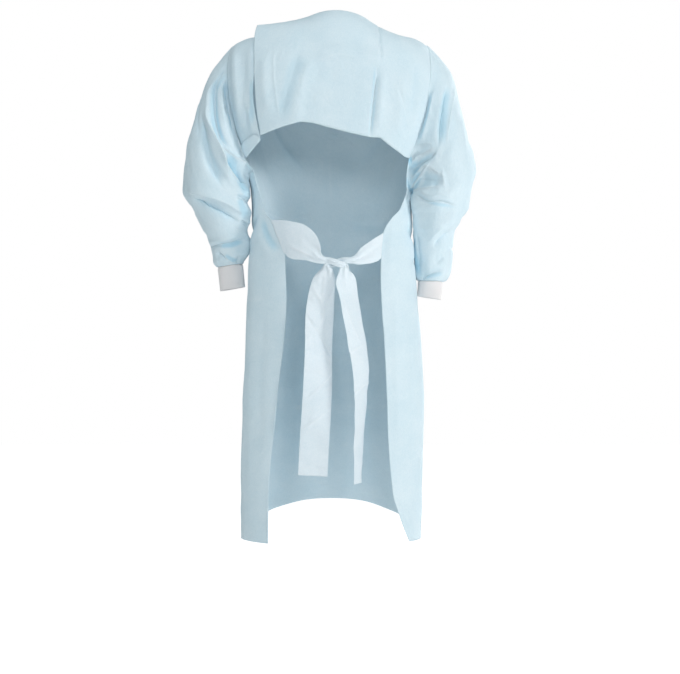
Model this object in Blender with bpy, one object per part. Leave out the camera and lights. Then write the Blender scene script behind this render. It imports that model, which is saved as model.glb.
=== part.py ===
"""Open-back procedure gown, pulled on over the head and tied behind, in its hollow worn shape.

Metres, +Z up. The front of the gown faces -Y, so +X is the wearer's left. The origin is the
middle of the neck, at the height where the shoulder line meets it: the gown hangs from there.
"""

import math

import bpy
import numpy as np

# Driving dimensions
WALL = 0.0016  # cloth wall
KNIT_WALL = 0.0022  # knitted cuff wall
SEAM_GAP = 0.0004  # how far each piece stops short of a seam
SLEEVE_GAP = 0.0011  # how far a sleeve stops short of the armhole, which bends round the shoulder
TIE_WIDTH = 0.066  # flat width of a waist tie
TIE_WALL = 0.0018
TIE_CLEARANCE = 0.0018  # from the panel's edge to the sewn end of a tie
ROPE_RADIUS = 0.0047  # a tie gathered up in the knot
KNOT_CENTRE = np.array([-0.013, 0.124, -0.5515])
KNOT_LENGTH = 0.040
KNOT_RADIUS = 0.0062  # from the knot's axis to the middle of each gathered tie
KNOT_STEPS = 11
KNOT_TURNS = 1.5  # a half knot twists its two strands one and a half turns

LEFT, RIGHT = 1, -1
TURNS = 32  # points round a sleeve
JOIN_TURN = 20  # where the front of the armhole meets the lower block of the body panel
YOKE_TURN = 12  # the yoke's lower corner on the armhole
PANEL_TURN = 13  # the top of the body panel's back edge on the armhole
CENTRE_COLUMNS = 16  # across the front, between the armholes
YOKE_COLUMNS = 16
BACK_LEFT_COLUMNS = 3
SHOULDER_LEVEL = 3.6  # row of BODY where the shoulder seam ends in the armhole
HEM_LEVEL = 16.0
SHOULDER_ROWS = 4  # of faces, from the neck to the end of the shoulder seam
UNDERARM_ROWS = 4  # of faces, from the armhole to the upper edge of the left tie
SKIRT_ROWS = 8  # of faces, from the lower edge of the left tie to the hem

# The worn body, ring by ring from the neck to the hem. A ring has one height at its sides, one
# in front and one behind; square is the power that makes it boxier than an ellipse. Columns:
# side_z, front_z, back_z, half_width, front_y, back_y, square, centre_x
BODY = np.array(
    [
        (0.000, -0.078, 0.024, 0.083, -0.080, 0.064, 1.00, -0.0125),
        (-0.018, -0.100, 0.004, 0.122, -0.104, 0.084, 0.97, -0.008),
        (-0.028, -0.125, -0.025, 0.160, -0.121, 0.099, 0.93, -0.004),
        (-0.035, -0.150, -0.060, 0.197, -0.133, 0.110, 0.90, 0.000),
        (-0.058, -0.178, -0.100, 0.229, -0.141, 0.117, 0.87, 0.002),
        (-0.105, -0.208, -0.145, 0.245, -0.147, 0.121, 0.85, 0.003),
        (-0.175, -0.245, -0.205, 0.241, -0.151, 0.122, 0.84, 0.003),
        (-0.250, -0.285, -0.265, 0.222, -0.153, 0.121, 0.84, 0.003),
        (-0.330, -0.335, -0.330, 0.193, -0.155, 0.117, 0.84, 0.002),
        (-0.420, -0.420, -0.420, 0.184, -0.157, 0.110, 0.84, -0.002),
        (-0.530, -0.530, -0.530, 0.190, -0.158, 0.106, 0.84, -0.003),
        (-0.640, -0.640, -0.641, 0.196, -0.160, 0.106, 0.84, -0.004),
        (-0.760, -0.755, -0.762, 0.203, -0.163, 0.108, 0.84, -0.007),
        (-0.880, -0.860, -0.883, 0.208, -0.165, 0.110, 0.84, -0.006),
        (-1.000, -0.960, -1.004, 0.209, -0.167, 0.113, 0.84, -0.003),
        (-1.095, -1.035, -1.101, 0.208, -0.169, 0.115, 0.84, -0.002),
        (-1.178, -1.102, -1.186, 0.207, -0.171, 0.117, 0.84, -0.001),
    ]
)
LEVELS = np.arange(len(BODY))
RING_DROP = 1.6  # power by which a ring's height leaves its sides' for the front's and back's

# The armhole seam: turn in degrees from the shoulder, down the back, under the arm and up the
# front; behind is how many degrees behind the side of the body it runs, level the body's row.
ARMHOLE_TURNS = (0, 30, 60, 90, 120, 135, 146.25, 180, 210, 225, 240, 270, 300, 330, 360)
ARMHOLE_BEHIND = {
    LEFT: (0, 15, 21, 21, 18, 18, 26, 0, -19, -25, -29, -31, -25, -14, 0),
    RIGHT: (0, 15, 22, 25, 26.5, 26, 23, 0, -19, -25, -29, -31, -25, -14, 0),
}
ARMHOLE_LEVEL = {
    LEFT: (3.6, 4.3, 5.3, 6.35, 7.35, 7.86, 8.06, 8.17, 7.85, 7.5, 7.05, 6.05, 5.05, 4.2, 3.6),
    RIGHT: (3.6, 4.3, 5.3, 6.35, 7.3, 7.72, 8.55, 8.60, 8.00, 7.5, 7.05, 6.05, 5.05, 4.2, 3.6),
}

# The body panel's free back edge: height, and distance from the centre plane on that side.
PANEL_EDGE = {
    LEFT: (
        (-1.185, -1.075, -1.003, -0.931, -0.859, -0.787, -0.715, -0.643, -0.553, -0.531, -0.4544,
         -0.440, -0.417, -0.390, -0.365, -0.330),
        (0.1425, 0.1412, 0.1367, 0.1290, 0.1225, 0.1140, 0.1055, 0.1010, 0.1035, 0.1041, 0.1333,
         0.1460, 0.1536, 0.1615, 0.1685, 0.1750),
    ),
    RIGHT: (
        (-1.180, -1.147, -1.111, -1.075, -1.039, -0.931, -0.859, -0.733, -0.625, -0.542, -0.468,
         -0.446, -0.433, -0.411, -0.388, -0.370),
        (0.1800, 0.1660, 0.1540, 0.1420, 0.1375, 0.1300, 0.1277, 0.1220, 0.1145, 0.1142, 0.1254,
         0.1412, 0.1542, 0.1652, 0.1740, 0.1780),
    ),
}

# The yoke's lower edge, and the slit edges beside it, read across the back.
YOKE_HEM_X = (-0.1820, -0.1682, -0.1344, -0.1119, -0.0894, -0.0444, 0.0006, 0.0411, 0.0681,
              0.1019, 0.1356, 0.1536)
YOKE_HEM_Z = (-0.3130, -0.3105, -0.2879, -0.2705, -0.2699, -0.2609, -0.2496, -0.2384, -0.2361,
              -0.2451, -0.2564, -0.2631)
YOKE_LIFT_X = (0.050, 0.080, 0.115, 0.170)  # the free corner stands above the left shoulder
YOKE_LIFT_Z = (0.000, 0.012, 0.026, 0.030)
YOKE_FREE = (0.060, 0.110)  # across these x the yoke's top edge leaves the shoulder seam
YOKE_FREE_LEVELS = 0.55  # how far behind the seam its free corner starts
YOKE_LIFT_SHARE = 0.75  # share of the slit's length over which that corner settles
YOKE_OVER = (0.004, 0.006)  # how far the yoke lies over the slit's edge, and its hem over the ties
YOKE_EDGE_X = (0.1655, 0.1690, 0.1680, 0.1626, 0.1536)  # at even steps from top to bottom
SLIT_EDGE_X = (0.1725, 0.1755, 0.1765, 0.1720, 0.1600)
BACK_LEFT_HEM_X = (0.1580, 0.1800, 0.2025)
BACK_LEFT_HEM_Z = (-0.2700, -0.2960, -0.3190)

# Sleeves, ring by ring from the armhole to the cuff, on the wearer's side of each: the outer
# and inner points of a ring as seen from behind, and how far it reaches forwards and back:
# outer_x, outer_z, inner_x, inner_z, front_y, back_y
SLEEVE = {
    LEFT: np.array(
        [
            (0.216, -0.046, 0.189, -0.358, -0.056, 0.052),
            (0.252, -0.073, 0.192, -0.366, -0.072, 0.066),
            (0.277, -0.112, 0.195, -0.373, -0.080, 0.077),
            (0.295, -0.155, 0.196, -0.379, -0.084, 0.084),
            (0.310, -0.200, 0.197, -0.385, -0.085, 0.088),
            (0.321, -0.244, 0.197, -0.392, -0.084, 0.090),
            (0.330, -0.288, 0.198, -0.400, -0.083, 0.091),
            (0.335, -0.329, 0.198, -0.411, -0.082, 0.091),
            (0.339, -0.364, 0.199, -0.425, -0.082, 0.088),
            (0.341, -0.388, 0.199, -0.440, -0.083, 0.083),
            (0.328, -0.408, 0.200, -0.455, -0.085, 0.074),
            (0.309, -0.440, 0.200, -0.471, -0.086, 0.062),
            (0.292, -0.476, 0.198, -0.489, -0.085, 0.046),
            (0.281, -0.504, 0.197, -0.507, -0.083, 0.030),
            (0.274, -0.528, 0.198, -0.525, -0.082, 0.018),
            (0.271, -0.546, 0.202, -0.538, -0.080, 0.007),
            (0.262, -0.556, 0.204, -0.548, -0.076, -0.006),
        ]
    ),
    RIGHT: np.array(
        [
            (0.213, -0.048, 0.188, -0.396, -0.056, 0.050),
            (0.249, -0.073, 0.192, -0.401, -0.072, 0.064),
            (0.275, -0.108, 0.195, -0.406, -0.080, 0.074),
            (0.290, -0.146, 0.196, -0.410, -0.084, 0.080),
            (0.299, -0.186, 0.197, -0.414, -0.085, 0.084),
            (0.307, -0.226, 0.197, -0.419, -0.084, 0.087),
            (0.316, -0.264, 0.197, -0.425, -0.083, 0.089),
            (0.327, -0.302, 0.198, -0.431, -0.082, 0.089),
            (0.333, -0.340, 0.198, -0.439, -0.082, 0.087),
            (0.327, -0.366, 0.199, -0.448, -0.083, 0.083),
            (0.322, -0.392, 0.199, -0.458, -0.084, 0.077),
            (0.318, -0.424, 0.200, -0.472, -0.085, 0.068),
            (0.302, -0.450, 0.200, -0.488, -0.085, 0.057),
            (0.286, -0.474, 0.200, -0.505, -0.084, 0.045),
            (0.284, -0.503, 0.200, -0.526, -0.083, 0.033),
            (0.282, -0.536, 0.201, -0.549, -0.082, 0.021),
            (0.278, -0.566, 0.201, -0.570, -0.080, 0.011),
            (0.269, -0.586, 0.201, -0.584, -0.079, 0.002),
            (0.258, -0.589, 0.203, -0.587, -0.074, -0.006),
        ]
    ),
}
HEAD_RINGS = 5
SLEEVE_HEAD_ROWS = 2.0  # rows over which the sleeve leaves the body's form for its own
HEAD_STIFFNESS = 0.7  # how far it keeps to that form, as a share of the way to its own
UNDERARM_SHARE = 0.05  # of that stiffness under the arm, where the tube leaves at once
SMALL_STEP = 0.05  # share of the way to the armhole's middle that gives the form's direction
ARMHOLE_MIDDLE = (-2.0, 5.9)  # degrees behind the side, and level
CUFF_END_ROWS = 2.0  # rows over which the folds fade before the cuff
SLEEVE_SQUARE = 0.92
SLEEVE_STEP = {LEFT: 1.0, RIGHT: 1.125}  # table rows from one built ring to the next

# Cuffs: rows after the seam, which is the sleeve's last row, down to the wrist.
CUFF = {
    LEFT: np.array(
        [
            (0.2590, -0.5750, 0.2015, -0.5665, -0.0745, -0.0085),
            (0.2572, -0.5930, 0.2000, -0.5840, -0.0750, -0.0110),
            (0.2560, -0.6110, 0.1990, -0.6015, -0.0760, -0.0130),
        ]
    ),
    RIGHT: np.array(
        [
            (0.2570, -0.6040, 0.2020, -0.6000, -0.0720, -0.0090),
            (0.2565, -0.6180, 0.2010, -0.6120, -0.0725, -0.0110),
            (0.2560, -0.6310, 0.2000, -0.6230, -0.0730, -0.0130),
        ]
    ),
}

# Ties: middle line, how wide the tie is there, how thick, and which way its width points:
# x, y, z, width, thickness, across_x, across_y, across_z
TIE_BANDS = {
    LEFT: (
        (0.0960, 0.104, -0.4945, 0.076, TIE_WALL, 0.20, 0.00, 1.0),
        (0.0760, 0.112, -0.5025, 0.082, TIE_WALL, 0.05, 0.00, 1.0),
        (0.0560, 0.118, -0.5140, 0.073, 0.0020, 0.10, 0.00, 1.0),
        (0.0420, 0.121, -0.5260, 0.054, 0.0030, 0.20, 0.00, 1.0),
        (0.0300, 0.123, -0.5385, 0.030, 0.0055, 0.20, 0.00, 1.0),
        (0.0180, 0.124, -0.5450, 0.018, 0.0080, 0.10, 0.00, 1.0),
    ),
    RIGHT: (
        (-0.0980, 0.107, -0.5250, 0.048, 0.0022, 0.05, 0.00, 1.0),
        (-0.0780, 0.115, -0.5350, 0.040, 0.0030, 0.00, 0.00, 1.0),
        (-0.0630, 0.120, -0.5430, 0.026, 0.0050, 0.00, 0.00, 1.0),
        (-0.0480, 0.123, -0.5460, 0.015, 0.0080, 0.00, 0.00, 1.0),
    ),
}
TIE_TAILS = {
    # the wearer's left tie leaves the knot on the right, and the other one on the left
    LEFT: (
        (-0.0340, 0.124, -0.5720, 0.020, 0.0080, 1.00, -0.30, 0.0),
        (-0.0360, 0.123, -0.5900, 0.036, 0.0050, 0.90, -0.45, 0.0),
        (-0.0420, 0.122, -0.6240, 0.054, 0.0025, 0.72, -0.69, 0.0),
        (-0.0500, 0.121, -0.6740, TIE_WIDTH, TIE_WALL, 0.62, -0.78, 0.0),
        (-0.0600, 0.120, -0.7330, TIE_WIDTH, TIE_WALL, 0.62, -0.78, 0.0),
        (-0.0670, 0.119, -0.7800, TIE_WIDTH, TIE_WALL, 0.58, -0.81, 0.0),
        (-0.0686, 0.118, -0.8590, TIE_WIDTH, TIE_WALL, 0.42, -0.90, 0.0),
        (-0.0642, 0.118, -0.9500, TIE_WIDTH, TIE_WALL, 0.32, -0.95, 0.0),
        (-0.0608, 0.118, -1.0460, TIE_WIDTH, TIE_WALL, 0.25, -0.97, 0.0),
    ),
    RIGHT: (
        (0.0100, 0.124, -0.5700, 0.024, 0.0080, -1.0, 0.10, 0.0),
        (0.0118, 0.123, -0.5850, 0.044, 0.0055, -1.0, 0.10, 0.0),
        (0.0175, 0.122, -0.6100, 0.056, 0.0030, -1.0, 0.05, 0.0),
        (0.0220, 0.122, -0.6440, 0.061, 0.0020, -1.0, -0.05, 0.0),
        (0.0262, 0.121, -0.7400, TIE_WIDTH, TIE_WALL, -0.9, -0.40, 0.0),
        (0.0297, 0.120, -0.8585, TIE_WIDTH, TIE_WALL, -1.0, -0.20, -0.03),
        (0.0353, 0.119, -0.9480, TIE_WIDTH, TIE_WALL, -1.0, 0.00, -0.06),
        (0.0393, 0.118, -1.0290, TIE_WIDTH, TIE_WALL, -1.0, 0.00, -0.10),
    ),
}
TIE_ROOT_Z = {LEFT: (-0.4544, -0.5310), RIGHT: (-0.4840, -0.5400)}
TIE_TRIM = 0.002  # how much less wide a tie's sewn end is than the panel's edge there
TIE_RINGS = 52
KNOT_RINGS = 22
LEAST_BAND_RINGS = 6
TIE_EDGES = (0.9, 0.7)  # powers that square off a tie's flat section across it and through it
TIE_POINTS = 10
TIE_SQUARE_BY = 0.04  # along a tie, from its slanting seam to where its rings lie square to it

# Folds of a sleeve, each along a line from one (turn, row) to another, with its half width and
# how far the cloth stands out (or, below 0, in): turn, row, end_turn, end_row, half_width, out
SLEEVE_FOLDS = {
    LEFT: (
        (36, 1.9, 79, 3.3, 0.020, -0.007),
        (79, 3.3, 118, 2.8, 0.020, -0.006),
        (56, 4.0, 92, 5.5, 0.024, -0.012),
        (92, 5.5, 120, 6.3, 0.020, -0.010),
        (99, 4.3, 160, 5.2, 0.022, -0.008),
        (40, 8.8, 92, 9.1, 0.020, -0.012),
        (92, 9.1, 165, 9.6, 0.022, -0.011),
        (45, 12.7, 165, 12.0, 0.017, -0.009),
        (60, 14.6, 150, 14.2, 0.014, 0.004),
        (322, 2.0, 268, 3.6, 0.020, -0.009),
        (296, 4.3, 232, 6.2, 0.024, -0.012),
        (345, 9.0, 215, 9.4, 0.022, -0.010),
        (318, 12.2, 222, 11.8, 0.018, -0.009),
        (20, 6.2, -30, 7.0, 0.030, 0.004),
    ),
    RIGHT: (
        (18, 2.9, 76, 4.6, 0.022, -0.003),
        (142, 2.6, 106, 6.1, 0.024, -0.004),
        (106, 6.1, 82, 9.1, 0.022, -0.005),
        (140, 8.6, 89, 10.6, 0.022, -0.005),
        (89, 10.6, 14, 11.5, 0.024, -0.006),
        (290, 4.8, 226, 6.4, 0.026, -0.004),
        (342, 10.4, 216, 10.0, 0.024, -0.005),
        (20, 7.0, -28, 6.6, 0.030, 0.004),
    ),
}
ROW_LENGTH = 0.036  # of sleeve cloth between two rows of its table
TURN_LENGTH = 0.0013  # round a sleeve, for each degree

# Soft folds of the body panel: middle in degrees from the front towards the wearer's left, half
# width in degrees, first and last level, and how far the cloth stands out (or, below 0, in):
# angle, half_angle, from_level, to_level, out
FOLD_ENDS = 0.8  # power by which a fold of the body fades in and out along its length
FOLDS = (
    (-52, 11, 8.5, 17.5, 0.010),
    (-33, 9, 9.0, 18.0, -0.008),
    (-8, 14, 6.5, 15.0, 0.005),
    (24, 9, 9.0, 18.0, -0.008),
    (44, 12, 8.0, 17.5, 0.010),
    (72, 10, 10.0, 17.0, -0.004),
    (-78, 10, 10.0, 17.0, -0.004),
)

# Base colour, roughness
SKY_CLOTH = ((0.66, 0.80, 0.88), 0.62)
PALE_TIE = ((0.74, 0.84, 0.90), 0.60)
WHITE_KNIT = ((0.80, 0.80, 0.81), 0.90)


def curve(keys, rows, at):
    """Smooth curve through a table's rows at their keys, in cubic pieces, read at `at`."""
    keys, rows = np.asarray(keys, float), np.asarray(rows, float)
    at = np.asarray(at, float)
    slope = np.gradient(rows, keys, axis=0)
    i = np.clip(np.searchsorted(keys, at, side="right") - 1, 0, len(keys) - 2)
    step = keys[i + 1] - keys[i]
    t = np.clip((at - keys[i]) / step, 0, 1)
    if rows.ndim > 1:
        t, step = t[..., None], step[..., None]
    return (
        (2 * t**3 - 3 * t**2 + 1) * rows[i]
        + (t**3 - 2 * t**2 + t) * step * slope[i]
        + (3 * t**2 - 2 * t**3) * rows[i + 1]
        + (t**3 - t**2) * step * slope[i + 1]
    )


def ease(t):
    """0 before 0, 1 after 1, and a soft step between."""
    t = np.clip(t, 0, 1)
    return t * t * (3 - 2 * t)


def power(value, exponent):
    """value to an exponent, with its sign kept."""
    return np.sign(value) * np.abs(value) ** exponent


def body_row(level):
    return np.moveaxis(curve(LEVELS, BODY, level), -1, 0)


def fold_depth(theta, level):
    """How far the folds move the cloth out: a soft bump across each, fading at its ends."""
    out = np.zeros(np.broadcast(theta, level).shape)
    for angle, half_angle, from_level, to_level, height in FOLDS:
        across = (np.degrees(theta) - angle) / half_angle
        along = (level - from_level) / (to_level - from_level)
        out += height * np.exp(-(across**2)) * np.sin(math.pi * np.clip(along, 0, 1)) ** FOLD_ENDS
    return out


def body(theta, level):
    """Points of the worn body: theta is 0 in front and grows towards the wearer's left."""
    side_z, front_z, back_z, half, front_y, back_y, square, centre = body_row(level)
    sine, cosine = np.sin(theta), np.cos(theta)
    in_front = cosine > 0
    depth = np.where(in_front, front_y, back_y)
    rise = np.where(in_front, front_z, back_z) - side_z
    out = 1 + fold_depth(theta, level) / half
    x = centre + half * power(sine, square) * out
    y = depth * np.abs(cosine) ** square * out
    z = side_z + rise * np.abs(cosine) ** RING_DROP
    return np.stack([x, y, z], axis=-1)


def back_angle(x, level):
    """The angle behind the side at which a ring of the body is at x."""
    half, square, centre = body_row(level)[[3, 6, 7]]
    share = np.clip(np.abs(x - centre) / half, 0, 1) ** (1 / square)
    return np.where(x > centre, 1, -1) * (math.pi - np.arcsin(share))


def armhole(turn, side):
    """(angle, level) of the armhole seam at a turn in degrees."""
    behind = curve(ARMHOLE_TURNS, ARMHOLE_BEHIND[side], turn)
    level = curve(ARMHOLE_TURNS, ARMHOLE_LEVEL[side], turn)
    return side * np.radians(90 + behind), level


def turn_of(index):
    return np.asarray(index) * 360.0 / TURNS


def trimmed(points, towards, by=SEAM_GAP):
    """Edge points moved towards the next row of points, to leave the seam's gap."""
    way = towards - points
    return points + way / np.linalg.norm(way, axis=-1, keepdims=True) * by


def grid_faces(rows, columns, closed=False):
    """Quads between the rows and columns of a grid, with its last column joined on if closed."""
    faces = []
    for r in range(rows - 1):
        for c in range(columns if closed else columns - 1):
            after = (c + 1) % columns
            faces.append((r * columns + c, r * columns + after,
                          (r + 1) * columns + after, (r + 1) * columns + c))
    return faces


def material(name, look):
    made = bpy.data.materials.new(name)
    made.use_nodes = True
    shader = made.node_tree.nodes["Principled BSDF"]
    shader.inputs["Base Color"].default_value = (*look[0], 1)
    shader.inputs["Roughness"].default_value = look[1]
    shader.inputs["Metallic"].default_value = 0.0
    return made


def solid(name, points, faces, look):
    """A named object with this mesh."""
    mesh = bpy.data.meshes.new(name)
    mesh.from_pydata(np.asarray(points).reshape(-1, 3).tolist(), [], faces)
    mesh.shade_smooth()
    mesh.materials.append(look)
    made = bpy.data.objects.new(name, mesh)
    bpy.context.scene.collection.objects.link(made)
    return made


def cloth(name, points, faces, look, thickness=WALL):
    """A sheet whose outer side is the given surface, given its wall on the inner side."""
    made = solid(name, points, faces, look)
    wall = made.modifiers.new("wall", "SOLIDIFY")
    wall.thickness = thickness
    wall.offset = -1
    wall.use_quality_normals = True
    return made


def panel_edge_angle(side, level):
    """The angle at which the body panel's free back edge crosses a ring of the body."""
    heights, edge_x = PANEL_EDGE[side]
    return back_angle(side * curve(heights, edge_x, body_row(level)[0]), level)


def body_panel(look):
    """Front and both sides in one: a block between the armholes and a wider one under them."""
    seam = np.arange(TURNS, JOIN_TURN - 1, -1)
    _, seam_levels = armhole(turn_of(seam), LEFT)
    shoulder = np.linspace(0, SHOULDER_LEVEL, SHOULDER_ROWS + 1)[:-1]
    upper_levels = np.concatenate([shoulder, seam_levels])
    share = np.linspace(-1, 1, CENTRE_COLUMNS + 1)
    upper = np.empty((len(upper_levels), len(share), 3))
    for row, level in enumerate(upper_levels):
        seam_row = max(row - SHOULDER_ROWS, 0)
        widest = abs(armhole(turn_of(seam[seam_row]), LEFT)[0])
        upper[row] = body(share * widest, np.full(share.shape, level))

    inner = share * abs(armhole(turn_of(JOIN_TURN), LEFT)[0])
    under = np.arange(JOIN_TURN - 1, PANEL_TURN - 1, -1)
    join_level = armhole(turn_of(JOIN_TURN), LEFT)[1]
    straight_level, tie_bottom = tie_levels(LEFT)
    lower_levels = np.concatenate([np.linspace(join_level, straight_level, UNDERARM_ROWS + 1)[1:],
                                   np.linspace(tie_bottom, HEM_LEVEL, SKIRT_ROWS + 1)])
    rows = []
    for side in (RIGHT, LEFT):
        top_angle, top_level = armhole(turn_of(under), side)
        join_angle = armhole(turn_of(JOIN_TURN), side)[0]
        fraction = (top_angle - join_angle) / (top_angle[-1] - join_angle)
        block = [body(top_angle, top_level)]
        for level in lower_levels:
            above = max((straight_level - level) / (straight_level - join_level), 0)
            levels = level + (top_level - join_level) * above
            edge = panel_edge_angle(side, levels[-1])
            block.append(body(join_angle + fraction * (edge - join_angle), levels))
        rows.append(np.array(block))
    right, left = rows
    middle = np.array([body(inner, np.full(inner.shape, level)) for level in lower_levels])

    for block in (right, left):
        block[0] = trimmed(block[0], block[1])
    upper[:, 0] = trimmed(upper[:, 0], upper[:, 1])
    upper[:, -1] = trimmed(upper[:, -1], upper[:, -2])
    lower = np.concatenate(
        [right[:, ::-1], np.concatenate([upper[-1:], middle]), left], axis=1
    )
    faces = grid_faces(len(upper), len(share))
    first = (len(upper) - 1) * len(share)
    columns = lower.shape[1]
    number = np.arange(lower.shape[0] * columns).reshape(-1, columns) + first + len(share)
    number[0, len(under):len(under) + len(share)] = np.arange(len(share)) + first
    for r in range(len(number) - 1):
        for c in range(columns - 1):
            faces.append((number[r, c], number[r, c + 1], number[r + 1, c + 1], number[r + 1, c]))
    points = np.concatenate([upper.reshape(-1, 3), lower.reshape(-1, 3)])
    used, again = np.unique(np.array(faces), return_inverse=True)
    faces = [tuple(face) for face in again.reshape(-1, 4)[:, ::-1].tolist()]
    return cloth("front_body", points[used], faces, look)


def shoulder_level(x):
    """The level whose ring is as wide as x, or the neck's where that is wider."""
    levels = np.linspace(0, 5, 200)
    _, _, _, half, _, _, _, centre = body_row(levels)
    right, left = centre - half, centre + half
    return np.where(x > 0, np.interp(x, left, levels), np.interp(-x, -right, levels))


def level_at(x, z):
    """The level at which the back of the body is at height z, above x."""
    levels = np.linspace(0.5, 9.0, 300)
    found = []
    for at_x, at_z in zip(np.atleast_1d(x), np.atleast_1d(z)):
        heights = body(back_angle(at_x, levels), levels)[:, 2]
        from_top = levels > shoulder_level(at_x)
        found.append(np.interp(-at_z, -heights[from_top], levels[from_top]))
    return np.array(found)


def back_piece(right_x, left_x, right_levels, hem_x, hem_z, columns, free_above=None):
    """Grid of a back piece from the shoulder down to its hem, and across between two edges.

    right_x and left_x are the edges' x row by row; right_levels the levels down the edge that
    is sewn to the armhole, which sets how the rows are spaced.
    """
    spacing = (right_levels - right_levels[0]) / (right_levels[-1] - right_levels[0])
    share = np.linspace(0, 1, columns + 1)
    across = right_x[:, None] + (left_x - right_x)[:, None] * share
    top = shoulder_level(across[0])
    if free_above is not None:
        top = top + free_above(across[0])
    bottom = level_at(across[-1], np.interp(across[-1], hem_x, hem_z))
    levels = top + (bottom - top) * spacing[:, None]
    return body(back_angle(across, levels), levels), across


def armhole_edge(side, last_turn):
    """x and level down the back of an armhole from the shoulder."""
    angle, level = armhole(turn_of(np.arange(last_turn + 1)), side)
    return body(angle, level)[:, 0], level


def yoke(look):
    """Upper back panel, from the right armhole to a free edge that stands over the left shoulder."""
    seam_x, seam_level = armhole_edge(RIGHT, YOKE_TURN)
    steps = np.linspace(0, 1, len(seam_x))
    edge_x = curve(np.linspace(0, 1, len(YOKE_EDGE_X)), YOKE_EDGE_X, steps)

    def free_start(x):
        return YOKE_FREE_LEVELS * ease((x - YOKE_FREE[0]) / (YOKE_FREE[1] - YOKE_FREE[0]))

    points, across = back_piece(seam_x, edge_x, seam_level, YOKE_HEM_X, YOKE_HEM_Z,
                                YOKE_COLUMNS, free_start)
    fade = (1 - ease(steps / YOKE_LIFT_SHARE))[:, None]
    points[..., 2] += np.interp(across, YOKE_LIFT_X, YOKE_LIFT_Z) * fade
    over_slit = ease((across - YOKE_LIFT_X[0]) / (YOKE_FREE[1] - YOKE_FREE[0]))
    points[..., 1] += YOKE_OVER[0] * over_slit + YOKE_OVER[1] * steps[:, None] ** 3
    points[:, 0] = trimmed(points[:, 0], points[:, 1])
    sewn = across[0] < 0.0
    points[0, sewn] = trimmed(points[0, sewn], points[1, sewn])
    return cloth("back_yoke", points, grid_faces(*points.shape[:2]), look)


def back_left(look):
    """Narrow back piece between the left armhole and the slit."""
    seam_x, seam_level = armhole_edge(LEFT, YOKE_TURN)
    steps = np.linspace(0, 1, len(seam_x))
    edge_x = curve(np.linspace(0, 1, len(SLIT_EDGE_X)), SLIT_EDGE_X, steps)
    points, _ = back_piece(seam_x, edge_x, seam_level, BACK_LEFT_HEM_X, BACK_LEFT_HEM_Z,
                           BACK_LEFT_COLUMNS)
    points[:, 0] = trimmed(points[:, 0], points[:, 1])
    points[0] = trimmed(points[0], points[1])
    faces = [face[::-1] for face in grid_faces(*points.shape[:2])]
    return cloth("back_left", points, faces, look)


def tube_ring(table, at, turn, side, square=SLEEVE_SQUARE):
    """Points of a sleeve's or cuff's rings: at is the table row, turn in degrees."""
    outer_x, outer_z, inner_x, inner_z, front_y, back_y = np.moveaxis(
        curve(np.arange(len(table)), table, at), -1, 0
    )
    out = power(np.cos(np.radians(turn)), square)
    behind = power(np.sin(np.radians(turn)), square)
    x = (outer_x + inner_x) / 2 + (outer_x - inner_x) / 2 * out
    z = (outer_z + inner_z) / 2 + (outer_z - inner_z) / 2 * out
    y = (back_y + front_y) / 2 + (back_y - front_y) / 2 * behind
    return np.stack([side * x, y, z], axis=-1)


def sleeve_fold_depth(side, at, turn):
    """How far a sleeve's folds move its cloth out, each a soft bump along its line."""
    out = np.zeros(np.broadcast(at, turn).shape)
    for fold_turn, row, end_turn, end_row, half_width, height in SLEEVE_FOLDS[side]:
        run = np.array([(end_turn - fold_turn) * TURN_LENGTH, (end_row - row) * ROW_LENGTH])
        around = (turn - fold_turn + 180) % 360 - 180
        x, y = around * TURN_LENGTH, (at - row) * ROW_LENGTH
        along = np.clip((x * run[0] + y * run[1]) / (run @ run), 0, 1)
        distance = np.hypot(x - along * run[0], y - along * run[1])
        out += height * np.exp(-((distance / half_width) ** 2))
    return out


def sleeve_points(side, at, turn):
    """A sleeve leaves the armhole along the body's own form and bends into its tube."""
    table = SLEEVE[side]
    angle, level = armhole(turn, side)
    middle_angle, middle_level = side * math.radians(90 + ARMHOLE_MIDDLE[0]), ARMHOLE_MIDDLE[1]
    start = body(angle, level)
    leaving = body(angle + SMALL_STEP * (middle_angle - angle),
                   level + SMALL_STEP * (middle_level - level)) - start
    joined = np.full(at.shape, SLEEVE_HEAD_ROWS)
    end = tube_ring(table, joined, turn, side)
    arriving = tube_ring(table, joined + SMALL_STEP, turn, side) - end
    span = np.linalg.norm(end - start, axis=-1, keepdims=True)
    above = UNDERARM_SHARE + (1 - UNDERARM_SHARE) * (1 + np.cos(np.radians(turn[..., None]))) / 2
    leaving *= HEAD_STIFFNESS * above * span / np.linalg.norm(leaving, axis=-1, keepdims=True)
    arriving *= span / np.linalg.norm(arriving, axis=-1, keepdims=True)
    t = np.clip(at / SLEEVE_HEAD_ROWS, 0, 1)[..., None]
    head = ((2 * t**3 - 3 * t**2 + 1) * start + (t**3 - 2 * t**2 + t) * leaving
            + (3 * t**2 - 2 * t**3) * end + (t**3 - t**2) * arriving)
    tube = tube_ring(table, np.maximum(at, SLEEVE_HEAD_ROWS), turn, side)
    middle = (tube + tube_ring(table, np.maximum(at, SLEEVE_HEAD_ROWS), turn + 180, side)) / 2
    outward = (tube - middle) / np.linalg.norm(tube - middle, axis=-1, keepdims=True)
    fading = ease(at / SLEEVE_HEAD_ROWS) * ease((len(table) - 1 - at) / CUFF_END_ROWS)
    folds = outward * (sleeve_fold_depth(side, at, turn) * fading)[..., None]
    return np.where(t < 1, head, tube) + folds


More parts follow.
